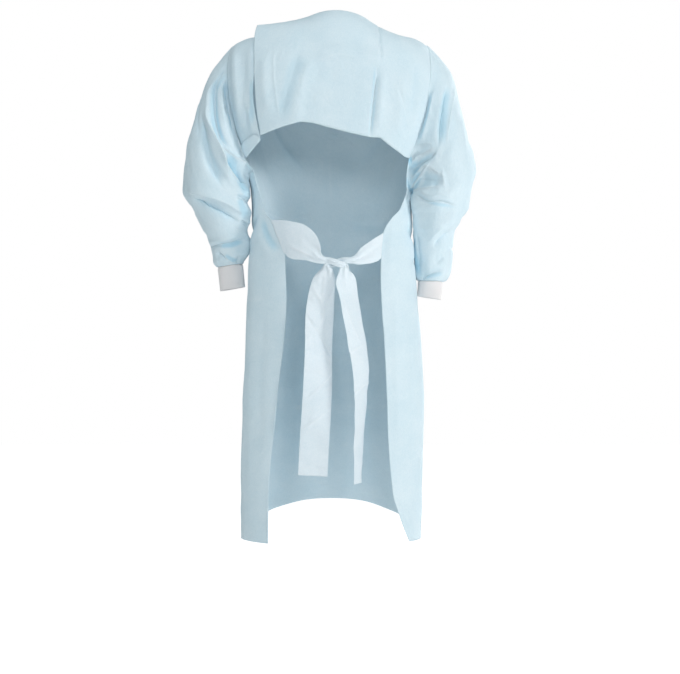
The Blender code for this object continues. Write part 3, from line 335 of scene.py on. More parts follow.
# Creases. Each runs along a path of places on the cloth in millimetres, seen from the side that
# its first word names: (x, z) from behind or in front, (y, z) from the left or right. Columns:
# seen from, half width, how far out (or, below 0, in), lean towards one flank, crispness, path
BACK, FRONT, LEFTWARD, RIGHTWARD = "back", "front", "leftward", "rightward"
CREASES = {
    "sleeve_left": (
        (BACK, 7, -7.0, 0.2, 0.6, (235, -105), (262, -146), (264, -188), (258, -242), (246, -273),
         (212, -303)),
        (BACK, 8, 3.0, 0.0, 0.0, (250, -120), (277, -160), (279, -200), (270, -245), (256, -284)),
        (BACK, 5, -5.0, -0.2, 0.7, (221, -92), (233, -146), (232, -177), (226, -204), (221, -262)),
        (BACK, 6, 2.5, 0.0, 0.0, (238, -120), (246, -165), (244, -205), (236, -250)),
        (BACK, 8, 6.5, -0.5, 0.5, (284, -186), (273, -230), (254, -276), (241, -306), (231, -344),
         (226, -380)),
        (BACK, 11, -9.0, -0.3, 0.2, (296, -206), (287, -256), (272, -308), (253, -352), (238, -390)),
        (BACK, 4.5, 5.0, 0.0, 0.6, (254, -281), (228, -303), (198, -321), (170, -334)),
        (BACK, 9, 4.0, 0.4, 0.4, (249, -287), (226, -338), (190, -382)),
        (BACK, 12, -12.0, 0.3, 0.3, (236, -312), (210, -346), (180, -372)),
        (BACK, 12, 5.0, 0.5, 0.4, (336, -384), (300, -392), (264, -402), (225, -420), (190, -446)),
        (BACK, 10, -9.0, -0.4, 0.2, (318, -402), (280, -416), (240, -436), (200, -462)),
        (BACK, 5, -5.0, -0.3, 0.6, (290, -513), (258, -507), (228, -502), (206, -496), (182, -488)),
        (BACK, 6, 3.0, 0.0, 0.2, (284, -500), (258, -496), (232, -491), (205, -484)),
        (BACK, 7, -5.0, -0.3, 0.4, (264, -521), (234, -543)),
        (BACK, 5, -6.0, 0.0, 0.4, (212, -396), (186, -409)),
        (BACK, 13, -6.0, 0.0, -0.6, (206, -318), (200, -352), (190, -392)),
        (BACK, 4, -5.0, 0.0, 0.5, (204, -452), (184, -466)),
        (BACK, 12, -3.0, 0.2, 0.1, (296, -150), (306, -215), (300, -280)),
        (FRONT, 8, -6.0, 0.2, 0.5, (236, -120), (258, -176), (250, -236), (214, -292)),
        (FRONT, 13, -7.0, -0.3, 0.2, (282, -240), (262, -300), (226, -356)),
        (FRONT, 9, 4.0, 0.0, 0.2, (256, -262), (236, -322), (200, -372)),
        (FRONT, 9, -7.0, -0.3, 0.4, (318, -392), (270, -404), (226, -432), (200, -458)),
        (FRONT, 9, -6.0, 0.3, 0.4, (300, -352), (250, -372), (206, -402)),
        (FRONT, 6, -6.0, -0.3, 0.5, (270, -500), (232, -504), (204, -494)),
        (FRONT, 6, -4.0, 0.2, 0.4, (262, -528), (226, -534)),
        (LEFTWARD, 12, -4.0, 0.0, 0.2, (-40, -150), (-20, -240), (10, -330)),
        (LEFTWARD, 8, -5.0, 0.2, 0.4, (-70, -410), (-30, -424), (20, -420)),
        (LEFTWARD, 7, -4.0, 0.0, 0.4, (-66, -470), (-30, -486), (12, -478)),
    ),
    "sleeve_right": (
        (BACK, 4, -5.2, -0.2, 0.8, (-228, -150), (-207, -240), (-188, -292)),
        (BACK, 8, 3.0, 0.0, 0.0, (-238, -150), (-222, -220), (-205, -272)),
        (BACK, 9, -6.5, 0.4, 0.3, (-266, -142), (-255, -191), (-247, -232), (-243, -296)),
        (BACK, 5, 4.0, 0.0, 0.5, (-286, -140), (-276, -191), (-268, -232), (-264, -292)),
        (BACK, 4, 3.0, 0.0, 0.3, (-189, -285), (-229, -283), (-236, -290)),
        (BACK, 4, 6.5, 0.2, 0.5, (-176, -320), (-207, -304), (-240, -288)),
        (BACK, 4.5, -7.5, 0.0, 0.5, (-182, -340), (-211, -320), (-242, -297)),
        (BACK, 4, 7.0, 0.0, 0.4, (-178, -366), (-200, -342), (-222, -324)),
        (BACK, 3, -9.0, 0.0, 0.5, (-176, -304), (-182, -316), (-184, -322)),
        (BACK, 3, -9.0, 0.0, 0.5, (-178, -372), (-184, -384), (-186, -392)),
        (BACK, 3, 4.5, 0.0, 0.7, (-172, -394), (-228, -319)),
        (BACK, 3, 4.0, 0.0, 0.7, (-206, -322), (-268, -363)),
        (BACK, 3, 3.5, 0.0, 0.6, (-251, -336), (-260, -390)),
        (BACK, 3.5, 4.0, 0.0, 0.6, (-178, -386), (-212, -381), (-262, -376)),
        (BACK, 16, -6.5, 0.0, -0.6, (-200, -358), (-254, -366)),
        (BACK, 5, -6.5, -0.3, 0.6, (-186, -388), (-222, -411), (-247, -411), (-288, -422)),
        (BACK, 7, 4.0, 0.0, 0.2, (-196, -380), (-226, -398), (-252, -397), (-286, -408)),
        (BACK, 9, -6.0, 0.3, 0.3, (-272, -477), (-250, -496), (-234, -514)),
        (BACK, 9, 3.0, 0.0, 0.0, (-262, -462), (-240, -482), (-222, -504)),
        (BACK, 5, -5.0, 0.2, 0.5, (-204, -586), (-235, -571), (-264, -565)),
        (BACK, 8, -5.0, 0.0, 0.2, (-196, -478), (-201, -535), (-204, -572)),
        (BACK, 7, -3.0, 0.0, 0.3, (-262, -536), (-238, -552)),
        (BACK, 12, 2.5, 0.0, 0.0, (-296, -200), (-306, -290), (-312, -350)),
        (FRONT, 8, -6.0, -0.2, 0.5, (-236, -126), (-256, -182), (-244, -246), (-210, -300)),
        (FRONT, 13, -7.0, 0.3, 0.2, (-286, -250), (-262, -316), (-222, -372)),
        (FRONT, 9, 4.0, 0.0, 0.2, (-258, -272), (-232, -336), (-198, -386)),
        (FRONT, 9, -7.0, 0.3, 0.4, (-320, -420), (-272, -430), (-228, -452), (-204, -476)),
        (FRONT, 9, -6.0, -0.3, 0.4, (-300, -372), (-252, -392), (-208, -420)),
        (FRONT, 6, -6.0, 0.3, 0.5, (-274, -520), (-232, -530), (-206, -520)),
        (FRONT, 6, -4.0, 0.0, 0.4, (-268, -556), (-226, -566)),
        (RIGHTWARD, 12, -4.0, 0.0, 0.2, (-40, -160), (-16, -250), (12, -340)),
        (RIGHTWARD, 8, -5.0, 0.2, 0.4, (-70, -430), (-30, -444), (20, -436)),
        (RIGHTWARD, 7, -4.0, 0.0, 0.4, (-62, -500), (-26, -514), (16, -508)),
    ),
    "back_yoke": (
        (BACK, 3, -3.4, 0.3, 0.8, (-110, 10), (-112, -50), (-113, -82), (-109, -112)),
        (BACK, 4.5, -4.4, 0.4, 0.7, (-107, -100), (-101, -160), (-95, -206), (-88, -290)),
        (BACK, 10, 2.2, 0.0, 0.0, (-118, -120), (-113, -180), (-108, -262)),
        (BACK, 2.5, 0.8, 0.0, 0.6, (127, -60), (127, -130), (120, -190), (114, -240)),
        (BACK, 16, -1.6, -0.5, 0.1, (66, -62), (82, -121), (99, -176), (114, -244)),
        (BACK, 3, 0.9, 0.0, 0.6, (40, -104), (-20, -84), (-76, -96)),
        (BACK, 3.5, -1.6, 0.0, 0.6, (-150, -150), (-166, -200), (-180, -256)),
        (BACK, 15, 2.6, 0.0, 0.0, (46, -90), (62, -150), (78, -210)),
        (BACK, 14, 2.0, 0.0, 0.0, (39, -85), (-22, -72), (-80, -84), (-150, -92)),
        (BACK, 22, -1.2, 0.2, 0.0, (20, -140), (-40, -150), (-76, -110)),
        (BACK, 12, -3.0, 0.3, 0.1, (-196, -90), (-190, -160), (-180, -240)),
        (BACK, 16, 2.4, 0.0, 0.0, (-166, -110), (-160, -190), (-150, -270)),
        (BACK, 12, 2.0, 0.0, 0.0, (148, -70), (150, -150), (138, -230)),
        (BACK, 14, 1.6, 0.0, 0.0, (78, -180), (72, -244)),
    ),
    "back_left": (
        (BACK, 6, -4.0, 0.2, 0.3, (200, -186), (190, -220), (196, -250)),
        (BACK, 9, 5.0, 0.0, 0.1, (186, -196), (178, -232), (172, -262)),
        (BACK, 15, 8.0, 0.0, -0.1, (214, -40), (213, -110), (208, -180), (198, -260)),
        (BACK, 4, -2.0, 0.2, 0.4, (192, -90), (196, -160), (198, -216)),
        (BACK, 9, 2.5, 0.0, 0.0, (183, -50), (182, -120), (178, -200)),
    ),
    "front_body": (
        (BACK, 9, -5.0, 0.3, 0.2, (156, -448), (143, -490), (124, -515), (108, -532)),
        (BACK, 10, 3.0, 0.0, 0.0, (168, -470), (154, -510), (132, -540)),
        (BACK, 14, 2.6, 0.0, 0.0, (176, -589), (183, -859), (182, -1129)),
        (BACK, 9, -2.2, 0.0, 0.0, (150, -640), (158, -800), (160, -1000)),
        (BACK, 2.5, 0.5, 0.0, 0.6, (146, -634), (192, -630)),
        (BACK, 2.5, -0.5, 0.0, 0.6, (170, -930), (138, -950)),
        (BACK, 9, 2.0, 0.0, 0.0, (-146, -560), (-150, -800), (-158, -1040)),
        (BACK, 12, -2.2, 0.0, 0.0, (-180, -544), (-184, -800), (-188, -1084)),
        (BACK, 5, -2.0, 0.2, 0.3, (-126, -484), (-120, -530)),
        (BACK, 7, 2.2, 0.0, 0.0, (-140, -450), (-134, -520), (-132, -600)),
        (BACK, 2.5, 0.4, 0.0, 0.6, (-130, -700), (-200, -706)),
        (FRONT, 14, -8.0, 0.3, 0.3, (160, -170), (116, -266), (50, -340)),
        (FRONT, 13, -7.0, -0.3, 0.3, (-156, -170), (-110, -262), (-56, -322)),
        (FRONT, 16, 5.0, 0.0, 0.0, (174, -230), (140, -330), (96, -430)),
        (FRONT, 15, 5.0, 0.0, 0.0, (-174, -236), (-138, -340), (-92, -440)),
        (FRONT, 11, -7.0, 0.2, 0.4, (186, -410), (110, -440), (34, -426)),
        (FRONT, 12, -8.0, -0.2, 0.3, (-186, -420), (-120, -458), (-30, -450)),
        (FRONT, 10, -5.0, 0.2, 0.3, (186, -496), (120, -516), (56, -500)),
        (FRONT, 9, -5.0, 0.0, 0.4, (-186, -500), (-124, -524), (-66, -510)),
        (FRONT, 20, -8.0, 0.2, 0.1, (52, -520), (64, -760), (80, -960), (92, -1130)),
        (FRONT, 17, 5.0, 0.0, 0.0, (86, -560), (104, -800), (124, -1120)),
        (FRONT, 20, -8.0, -0.2, 0.2, (-64, -560), (-72, -780), (-88, -980), (-96, -1140)),
        (FRONT, 15, 5.0, 0.0, 0.0, (-30, -600), (-32, -840), (-44, -1120)),
        (FRONT, 14, -6.0, 0.3, 0.1, (-138, -640), (-146, -860), (-150, -1120)),
        (FRONT, 12, -5.0, 0.0, 0.2, (14, -740), (22, -930), (30, -1110)),
        (FRONT, 10, 3.0, 0.0, 0.0, (60, -90), (20, -120), (-30, -118), (-80, -92)),
        (FRONT, 2.5, -0.9, 0.2, 0.8, (0, -110), (1, -400), (0, -700), (-2, -1080)),
        (FRONT, 2.5, 0.7, 0.0, 0.7, (-180, -640), (0, -644), (180, -640)),
        (FRONT, 2.5, -0.7, 0.0, 0.7, (-190, -880), (0, -884), (190, -880)),
        (LEFTWARD, 13, -7.0, 0.2, 0.3, (60, -440), (10, -470), (-60, -478)),
        (LEFTWARD, 9, -3.0, 0.0, 0.3, (64, -500), (20, -516), (-40, -512)),
        (LEFTWARD, 14, 3.0, 0.0, 0.0, (30, -600), (34, -860), (38, -1120)),
        (LEFTWARD, 15, -7.0, 0.2, 0.1, (-40, -540), (-46, -820), (-54, -1120)),
        (LEFTWARD, 12, -4.0, 0.0, 0.1, (0, -640), (4, -860), (2, -1120)),
        (RIGHTWARD, 13, -7.0, 0.2, 0.3, (60, -470), (10, -490), (-60, -494)),
        (RIGHTWARD, 9, -3.0, 0.0, 0.3, (64, -530), (20, -544), (-40, -540)),
        (RIGHTWARD, 14, 3.0, 0.0, 0.0, (30, -620), (34, -880), (38, -1120)),
        (RIGHTWARD, 15, -7.0, 0.2, 0.1, (-40, -560), (-46, -840), (-54, -1120)),
        (RIGHTWARD, 12, -4.0, 0.0, 0.1, (2, -660), (-2, -880), (4, -1120)),
    ),
    "tie_left": (
        (BACK, 3, 1.4, 0.0, 0.8, (-20, -600), (-34, -650), (-52, -700), (-66, -730), (-84, -768)),
        (BACK, 3, 1.2, 0.0, 0.8, (-18, -776), (-48, -752), (-84, -728)),
        (BACK, 4, 1.8, 0.0, 0.8, (-48, -846), (-92, -816)),
        (BACK, 7, -1.0, 0.3, 0.2, (64, -490), (44, -514), (24, -535)),
        (BACK, 3, 2.2, 0.3, 0.8, (98, -511), (70, -524), (44, -536), (24, -546)),
    ),
    "tie_right": (
        (BACK, 4, -2.2, 0.0, 0.7, (58, -664), (26, -712), (-8, -768)),
        (BACK, 4, 2.0, 0.0, 0.7, (-8, -798), (28, -836), (68, -868)),
        (BACK, 4, 1.4, 0.0, 0.6, (-8, -876), (68, -930)),
        (BACK, 5, 2.0, 0.0, 0.5, (46, -596), (14, -656), (44, -732)),
        (BACK, 3, 1.6, 0.0, 0.6, (10, -560), (18, -640)),
        (BACK, 4, -1.6, 0.0, 0.5, (-10, -606), (20, -664)),
    ),
}
# Painted shade: deep folds and shaded places on the cloth are tinted darker and more blue: strength
# in place of the height
PAINTED_FOLD_SHADE = {
    "sleeve_left": (
        (BACK, 9, 0.6, 0.0, (232, -110), (262, -150), (264, -200), (256, -250), (226, -300)),
        (BACK, 6, 0.6, 0.0, (230, -120), (233, -160), (228, -220), (218, -270)),
        (BACK, 13, 0.7, 0.0, (240, -296), (214, -334), (190, -384), (178, -410)),
        (BACK, 10, 0.6, 0.0, (206, -400), (190, -452)),
        (BACK, 7, 0.8, 0.0, (258, -508), (226, -506), (196, -494)),
        (BACK, 6, 0.7, 0.0, (244, -530), (214, -544)),
    ),
    "sleeve_right": (
        (BACK, 4, 0.5, 0.3, (-230, -150), (-212, -236), (-192, -290)),
        (BACK, 10, 0.6, 0.0, (-270, -144), (-260, -192), (-254, -232), (-251, -292)),
        (BACK, 12, 0.7, 0.0, (-184, -312), (-196, -350), (-186, -392)),
        (BACK, 5, 1.2, 0.0, (-174, -304), (-182, -318), (-184, -326)),
        (BACK, 5, 1.2, 0.0, (-176, -372), (-184, -384), (-188, -396)),
        (BACK, 6, 0.6, 0.0, (-186, -336), (-214, -316), (-238, -300)),
        (BACK, 17, 0.35, 0.0, (-204, -358), (-248, -368)),
        (BACK, 4, 0.5, 0.0, (-190, -392), (-224, -412), (-290, -424)),
        (BACK, 9, 0.9, 0.0, (-188, -480), (-194, -540), (-206, -584)),
        (BACK, 6, 0.5, 0.0, (-214, -580), (-262, -570)),
    ),
    "back_yoke": (
        (BACK, 5, 0.5, 0.0, (-103, -100), (-98, -170), (-88, -290)),
        (BACK, 16, 0.25, 0.0, (66, -80), (90, -150), (112, -244)),
    ),
    "back_left": ((BACK, 6, 0.5, 0.0, (176, -130), (176, -250)),),
    "front_body": ((BACK, 8, 0.6, 0.0, (156, -448), (143, -490), (116, -528)),),
}
CREASE_FADE = (0.22, 0.30)  # shares of a crease's length over which it starts and ends
CREASE_REACH = 3.2  # half widths past which a crease no longer moves the cloth
BESIDE_REACH = 1.3  # of that reach, within which a point belongs to a crease
LEAST_ALIKE = -0.2  # least share of the path's normal in the normal of such a point
CRISPER = 0.15  # added to the crispness of a crease that goes in
CRISP_FALL = 1.6  # how fast a crisp crease falls away, for each half width
MARKED_FROM = 0.35  # crispness above which a crease leaves a paler line in the cloth
MARK_WIDTH = 0.0025  # of that line
VALLEY_DEPTH = 0.009  # depth of a crease whose painted shade is at its strongest
VALLEY_SHADE = 0.15  # how strong that painted shade, a darker and more blue tint, is
# How crisp the softest crease of each piece is, and how much deeper its creases are than stated
CRISP_FROM = {"sleeve_left": 0.7, "sleeve_right": 0.7, "back_yoke": 0.0, "back_left": 0.1,
              "front_body": 0.1, "tie_left": 0.5, "tie_right": 0.5}
CREASE_GAIN = {"sleeve_left": 1.7, "sleeve_right": 1.25, "back_yoke": 1.7, "back_left": 1.3,
               "front_body": 1.0, "tie_left": 1.8, "tie_right": 1.5}
PATH_STEP = 0.003  # between the points of a crease's path on the cloth
LEAST_PATH_STEPS = 6
FACING = 0.05  # least share of a normal that points the way a crease is seen from
# For each side: the level axis that its places give, the axis of depth, and which way it faces
SEEN = {BACK: (0, 1, 1), FRONT: (0, 1, -1), LEFTWARD: (1, 0, 1), RIGHTWARD: (1, 0, -1)}
SMOOTHING, SMOOTHING_ROUNDS = np.array([1, 4, 6, 4, 1]) / 16, 3

# Small uneven crumpling of each piece: size of a facet and how deep it is, then the same of the
# finer one over it
CRUMPLE = {
    "front_body": (0.110, 0.0016, 0.045, 0.0004),
    "back_yoke": (0.120, 0.0012, 0.050, 0.0003),
    "back_left": (0.060, 0.0010, 0.026, 0.0003),
    "sleeve_left": (0.080, 0.0034, 0.034, 0.0012),
    "sleeve_right": (0.080, 0.0030, 0.034, 0.0011),
}
SEEDS = {"front_body": 11, "back_yoke": 23, "back_left": 31, "sleeve_left": 42, "sleeve_right": 40}
CLOUD_CELLS = 24  # random values along each edge of the repeating block
FACET_PLANES = 3
FACET_DRIFT = (2.2, 1.5)  # size in facets, and strength, of the field that shifts the planes
FINER_SEED = 7  # added to a piece's seed for its finer facets
TIE_RUFFLE = (0.0009, 0.03, 5)  # height, size and seed
TIE_FACETS = (0.040, 23)  # size and seed
TIE_CRUMPLE = {LEFT: 0.0012, RIGHT: 0.0026}

# Waves round a sleeve whose crests wander, above the cuff and at the armhole seam:
# how many, start in degrees, how far they wander, how often, start of that, height
GATHERS = ((11, 0, 40, 2, 30, 0.0011), (19, 0, 70, 3, 0, 0.0006))
PUCKERS = ((31, 20, 60, 4, 0, 0.0008), (13, 0, 80, 2, 70, 0.0010))
GATHERS_UNEVEN, PUCKERS_UNEVEN = (0.40, 3, 50), (0.45, 5, 10)  # share lost, places, start
GATHER_ROWS, PUCKER_ROWS = 1.6, 0.55  # rows of a sleeve over which they fade
SEAM_RIDGE = (0.0004, 0.16, 0.10)  # height, row and half width of the armhole's seam allowance
# Rows over which a sleeve's creases, gathers and puckers grow from its seams
CREASES_START, CREASES_STOP, GATHERS_STOP, PUCKERS_START = 0.14, 0.6, 0.12, 0.4

LEAN_WIDTH = 25.0  # degrees of turn either way over which a sleeve leans against the body
# How far its inner side leans there, behind: table row, turn, distance
LEAN_IN = {
    LEFT: ((0.5, 150, 0.000), (1.2, 150, 0.006), (2.0, 152, 0.013), (4.0, 152, 0.018),
           (6.0, 152, 0.023), (7.2, 152, 0.016), (8.4, 152, 0.024), (10.0, 154, 0.024),
           (11.3, 156, 0.013), (12.4, 160, 0.019), (14.0, 164, 0.012), (16.0, 166, 0.001)),
    RIGHT: ((0.5, 150, 0.000), (1.2, 150, 0.006), (2.0, 152, 0.014), (4.0, 152, 0.018),
            (8.0, 152, 0.017), (12.0, 156, 0.013), (15.0, 164, 0.010), (17.0, 166, 0.006),
            (18.0, 166, 0.001)),
}

# How finely the pieces are divided
SHOULDER_ROWS, ARMHOLE_ROWS, CENTRE_COLUMNS = 24, 46, 120
UNDERARM_ROWS, SKIRT_ROWS, SIDE_COLUMNS = 40, 108, 58
SHARED = slice(SIDE_COLUMNS, SIDE_COLUMNS + CENTRE_COLUMNS + 1)  # lower grid's columns in upper
JOIN_ROWS = 8  # rows over which those two grids are evened out
EDGE_JOIN_POWER = 8  # how late the panel's back edge bends to the armhole
SEWN_STEPS = 6  # rows or columns over which creases fade towards a seam
BACK_ROWS, YOKE_COLUMNS, BACK_LEFT_COLUMNS, FLAP_ROWS = 124, 176, 34, 22
BACK_STEPS = np.linspace(0, 1, BACK_ROWS + 1)
HEAD_RINGS, TUBE_RINGS, SLEEVE_TURNS = 40, 190, 200
CUFF_RINGS, CUFF_TURNS = 40, 504
TIE_STEP = 0.0028
SHOULDER_SEARCH = np.linspace(0, 5, 200)  # levels among which a place is looked for
BACK_SEARCH = np.linspace(0.5, 9.0, 300)


# Curves and random fields
def hermite(t, start, leaving, end, arriving):
    """Cubic from start to end that leaves and arrives in the given directions."""
    return ((2 * t**3 - 3 * t**2 + 1) * start + (t**3 - 2 * t**2 + t) * leaving
            + (3 * t**2 - 2 * t**3) * end + (t**3 - t**2) * arriving)


def curve(keys, rows, at):
    """Smooth curve through a table's rows at their keys, in cubic pieces, read at `at`."""
    keys, rows, at = (np.asarray(values, float) for values in (keys, rows, at))
    slope = np.gradient(rows, keys, axis=0)
    i = np.clip(np.searchsorted(keys, at, side="right") - 1, 0, len(keys) - 2)
    step = keys[i + 1] - keys[i]
    t = np.clip((at - keys[i]) / step, 0, 1)
    if rows.ndim > 1:
        t, step = t[..., None], step[..., None]
    return hermite(t, rows[i], step * slope[i], rows[i + 1], step * slope[i + 1])


def ease(t):
    """0 before 0, 1 after 1, and a soft step between: three times t squared less twice t cubed."""
    t = np.clip(t, 0, 1)
    return t * t * (3 - 2 * t)


def power(value, exponent):
    """value to an exponent, with its sign kept."""
    return np.sign(value) * np.abs(value) ** exponent


def unit(vectors):
    """The vectors, each divided by its length."""
    return vectors / np.maximum(np.linalg.norm(vectors, axis=-1, keepdims=True), 1e-12)


def lengths_along(points):
    """Distance of each point from the first, along the row of them."""
    return np.concatenate([[0], np.cumsum(np.linalg.norm(np.diff(points, axis=0), axis=1))])


def cloud(points, size, seed):
    """Smooth random field from -1 to 1: an eased blend of the random values that a lattice of
    cubes of this size has at its corners."""
    values = np.random.default_rng(seed).uniform(-1, 1, (CLOUD_CELLS,) * 3)
    at = points / size
    low = np.floor(at).astype(int)
    part = at - low
    part = part**3 * (part * (part * 6 - 15) + 10)
    total = np.zeros(points.shape[:-1])
    for corner in itertools.product((0, 1), repeat=3):
        weight = np.prod(np.where(corner, part, 1 - part), axis=-1)
        x, y, z = np.moveaxis((low + corner) % CLOUD_CELLS, -1, 0)
        total += weight * values[x, y, z]
    return total


def facets(points, size, seed):
    """Facets like crumpled paper's: the highest of several slanting planes, each with its own
    slope and an offset that drifts with a random field, so they meet in straight low ridges."""
    random = np.random.default_rng(seed)
    slopes = unit(random.normal(size=(FACET_PLANES, 3)))
    spread, strength = FACET_DRIFT
    drift = [cloud(points, size * spread, seed + plane) for plane in range(FACET_PLANES)]
    heights = [np.abs((points @ slope / size + strength * shift + turn) % 2 - 1)
               for slope, shift, turn in zip(slopes, drift, random.uniform(0, 2, FACET_PLANES))]
    top, low = np.maximum.reduce(heights), np.minimum.reduce(heights)
    return top + low - 1


# Body panel and back pieces
def body_row(level):
    """The columns of the body's table, read at a level."""
    return np.moveaxis(curve(LEVELS, BODY, level), -1, 0)


def fold_depth(theta, level):
    """How far the folds move the cloth out: a soft bump across each, fading at its ends."""
    out = np.zeros(np.broadcast(theta, level).shape)
    for angle, half_angle, from_level, to_level, height in FOLDS:
        across = (np.degrees(theta) - angle) / half_angle
        along = (level - from_level) / (to_level - from_level)
        out += height * np.exp(-(across**2)) * np.sin(math.pi * np.clip(along, 0, 1)) ** FOLD_ENDS
    return out


def body(theta, level):
    """Points of the worn body, whose rings are ellipses squared off by a power: theta is 0 in
    front and grows towards the wearer's left."""
    side_z, front_z, back_z, half, front_y, back_y, square, centre = body_row(level)
    sine, cosine = np.sin(theta), np.cos(theta)
    in_front = cosine > 0
    out = 1 + fold_depth(theta, level) / half
    x = centre + half * power(sine, square) * out
    y = np.where(in_front, front_y, back_y) * np.abs(cosine) ** square * out
    rise = np.where(in_front, front_z, back_z) - side_z
    return np.stack([x, y, side_z + rise * np.abs(cosine) ** RING_DROP], axis=-1)


def back_angle(x, level):
    """The angle behind the side at which a ring of the body is at x."""
    half, square, centre = body_row(level)[[3, 6, 7]]
    share = np.clip(np.abs(x - centre) / half, 0, 1) ** (1 / square)
    return np.where(x > centre, 1, -1) * (math.pi - np.arcsin(share))


def armhole(turn, side):
    """Angle and level of the armhole seam at a turn in degrees."""
    behind = curve(ARMHOLE_TURNS, ARMHOLE_BEHIND[side], turn)
    return side * np.radians(90 + behind), curve(ARMHOLE_TURNS, ARMHOLE_LEVEL[side], turn)


def trimmed(points, towards):
    """Edge points moved towards the next row of points, to leave the seam's gap."""
    return points + unit(towards - points) * SEAM


def panel_edge_angle(side, level):
    """The angle at which the body panel's free back edge crosses a ring of the body."""
    heights, edge_x = PANEL_EDGE[side]
    return back_angle(side * curve(heights, edge_x, body_row(level)[0]), level)


def tie_levels(side):
    """The levels of the body at which a tie's upper and lower edges meet the panel."""
    return np.interp([-z for z in TIE_ROOT_Z[side]], -BODY[:, 0], LEVELS)


def body_panel_grids():
    """Upper and lower grids of the front and sides, from the wearer's left edge to the right.

    Upper: rings of the body between the armholes. Lower: the same angles in the middle, and at
    each side a fan of columns from the armhole's lower half to the panel's free back edge.
    """
    turns = np.concatenate([np.full(SHOULDER_ROWS, 360.0),
                            np.linspace(360, JOIN_TURN, ARMHOLE_ROWS)])
    widest, seam_level = armhole(turns, LEFT)
    shoulder = np.linspace(0, SHOULDER_LEVEL, SHOULDER_ROWS + 1)[:-1]
    levels = np.concatenate([shoulder, seam_level[SHOULDER_ROWS:]])
    share = np.linspace(1, -1, CENTRE_COLUMNS + 1)
    upper = body(share * np.abs(widest)[:, None], levels[:, None])
    for edge, beside in ((0, 1), (-1, -2)):
        upper[:, edge] = trimmed(upper[:, edge], upper[:, beside])

    under = np.linspace(JOIN_TURN, PANEL_TURN, SIDE_COLUMNS + 1)[1:]
    left_join, join_level = armhole(JOIN_TURN, LEFT)
    straight_level = tie_levels(LEFT)[0]
    rows = np.concatenate([np.linspace(join_level, straight_level, UNDERARM_ROWS + 1),
                           np.linspace(straight_level, HEM_LEVEL, SKIRT_ROWS + 1)[1:]])[:, None]
    above = np.maximum((straight_level - rows) / (straight_level - join_level), 0)
    blocks = {}
    for side in (LEFT, RIGHT):
        top_angle, top_level = armhole(under, side)
        join_angle = armhole(JOIN_TURN, side)[0]
        fraction = (top_angle - join_angle) / (top_angle[-1] - join_angle)
        level = rows + (top_level - join_level) * above
        edge = panel_edge_angle(side, level[:, -1:])
        edge = edge + (top_angle[-1] - edge[0]) * above**EDGE_JOIN_POWER
        block = body(join_angle + fraction * (edge - join_angle), level)
        block[0] = trimmed(body(top_angle, top_level), block[1])
        blocks[side] = block
    middle = body(share * abs(left_join), rows)
    lower = np.concatenate([blocks[LEFT][:, ::-1], middle, blocks[RIGHT]], axis=1)
    lower[0, SHARED] = upper[-1]
    return upper, lower


def shoulder_level(x):
    """The level whose ring is as wide as x, or the neck's where that is wider."""
    half, centre = body_row(SHOULDER_SEARCH)[[3, 7]]
    return np.where(x > 0, np.interp(x, centre + half, SHOULDER_SEARCH),
                    np.interp(-x, half - centre, SHOULDER_SEARCH))


def level_at(x, z):
    """The level at which the back of the body is at height z, above x."""
    found = []
    for at_x, at_z in zip(x, z):
        heights = body(back_angle(at_x, BACK_SEARCH), BACK_SEARCH)[:, 2]
        behind = BACK_SEARCH > shoulder_level(at_x)
        found.append(np.interp(-at_z, -heights[behind], BACK_SEARCH[behind]))
    return np.array(found)


def back_piece(side, edge, hem_x, hem_z, columns, free_levels=0.0):
    """Grid of a back piece from the shoulder down to its hem, and across from its armhole to its
    other edge, and the x of its points.

    edge is that edge's x at even steps. The rows are spaced as the armhole's levels are. Past
    YOKE_FREE the top lies free_levels behind the shoulder seam.
    """
    angle, seam_level = armhole(np.linspace(0, YOKE_TURN, BACK_ROWS + 1), side)
    seam_x = body(angle, seam_level)[:, 0]
    edge_x = curve(np.linspace(0, 1, len(edge)), edge, BACK_STEPS)
    across = seam_x[:, None] + (edge_x - seam_x)[:, None] * np.linspace(0, 1, columns + 1)
    free = ease((across[0] - YOKE_FREE[0]) / (YOKE_FREE[1] - YOKE_FREE[0]))
    top = shoulder_level(across[0]) + free_levels * free
    bottom = level_at(across[-1], np.interp(across[-1], hem_x, hem_z))
    spacing = (seam_level - seam_level[0]) / (seam_level[-1] - seam_level[0])
    levels = top + (bottom - top) * spacing[:, None]
    return body(back_angle(across, levels), levels), across


def yoke_grid():
    """Upper back panel, from the right armhole to a free edge that stands over the left one."""
    points, across = back_piece(RIGHT, YOKE_EDGE_X, YOKE_HEM_X, YOKE_HEM_Z, YOKE_COLUMNS,
                                YOKE_FREE_LEVELS)
    down = BACK_STEPS[:, None]
    lift = np.interp(across, YOKE_LIFT_X, YOKE_LIFT_Z)
    points[..., 2] += lift * (1 - ease(down / YOKE_LIFT_SHARE))
    over_slit = ease((across - YOKE_LIFT_X[0]) / (YOKE_FREE[1] - YOKE_FREE[0]))
    points[..., 1] += YOKE_OVER[0] * over_slit + YOKE_OVER[1] * down**3
    points[:, 0] = trimmed(points[:, 0], points[:, 1])
    sewn = across[0] < 0.0
    points[0, sewn] = trimmed(points[0, sewn], points[1, sewn])
    return points


def back_left_grid():
    """Narrow back piece between the slit and the left armhole."""
    points, _ = back_piece(LEFT, SLIT_EDGE_X, BACK_LEFT_HEM_X, BACK_LEFT_HEM_Z, BACK_LEFT_COLUMNS)
    points[:, 0] = trimmed(points[:, 0], points[:, 1])
    points[0] = trimmed(points[0], points[1])
    return points[:, ::-1]


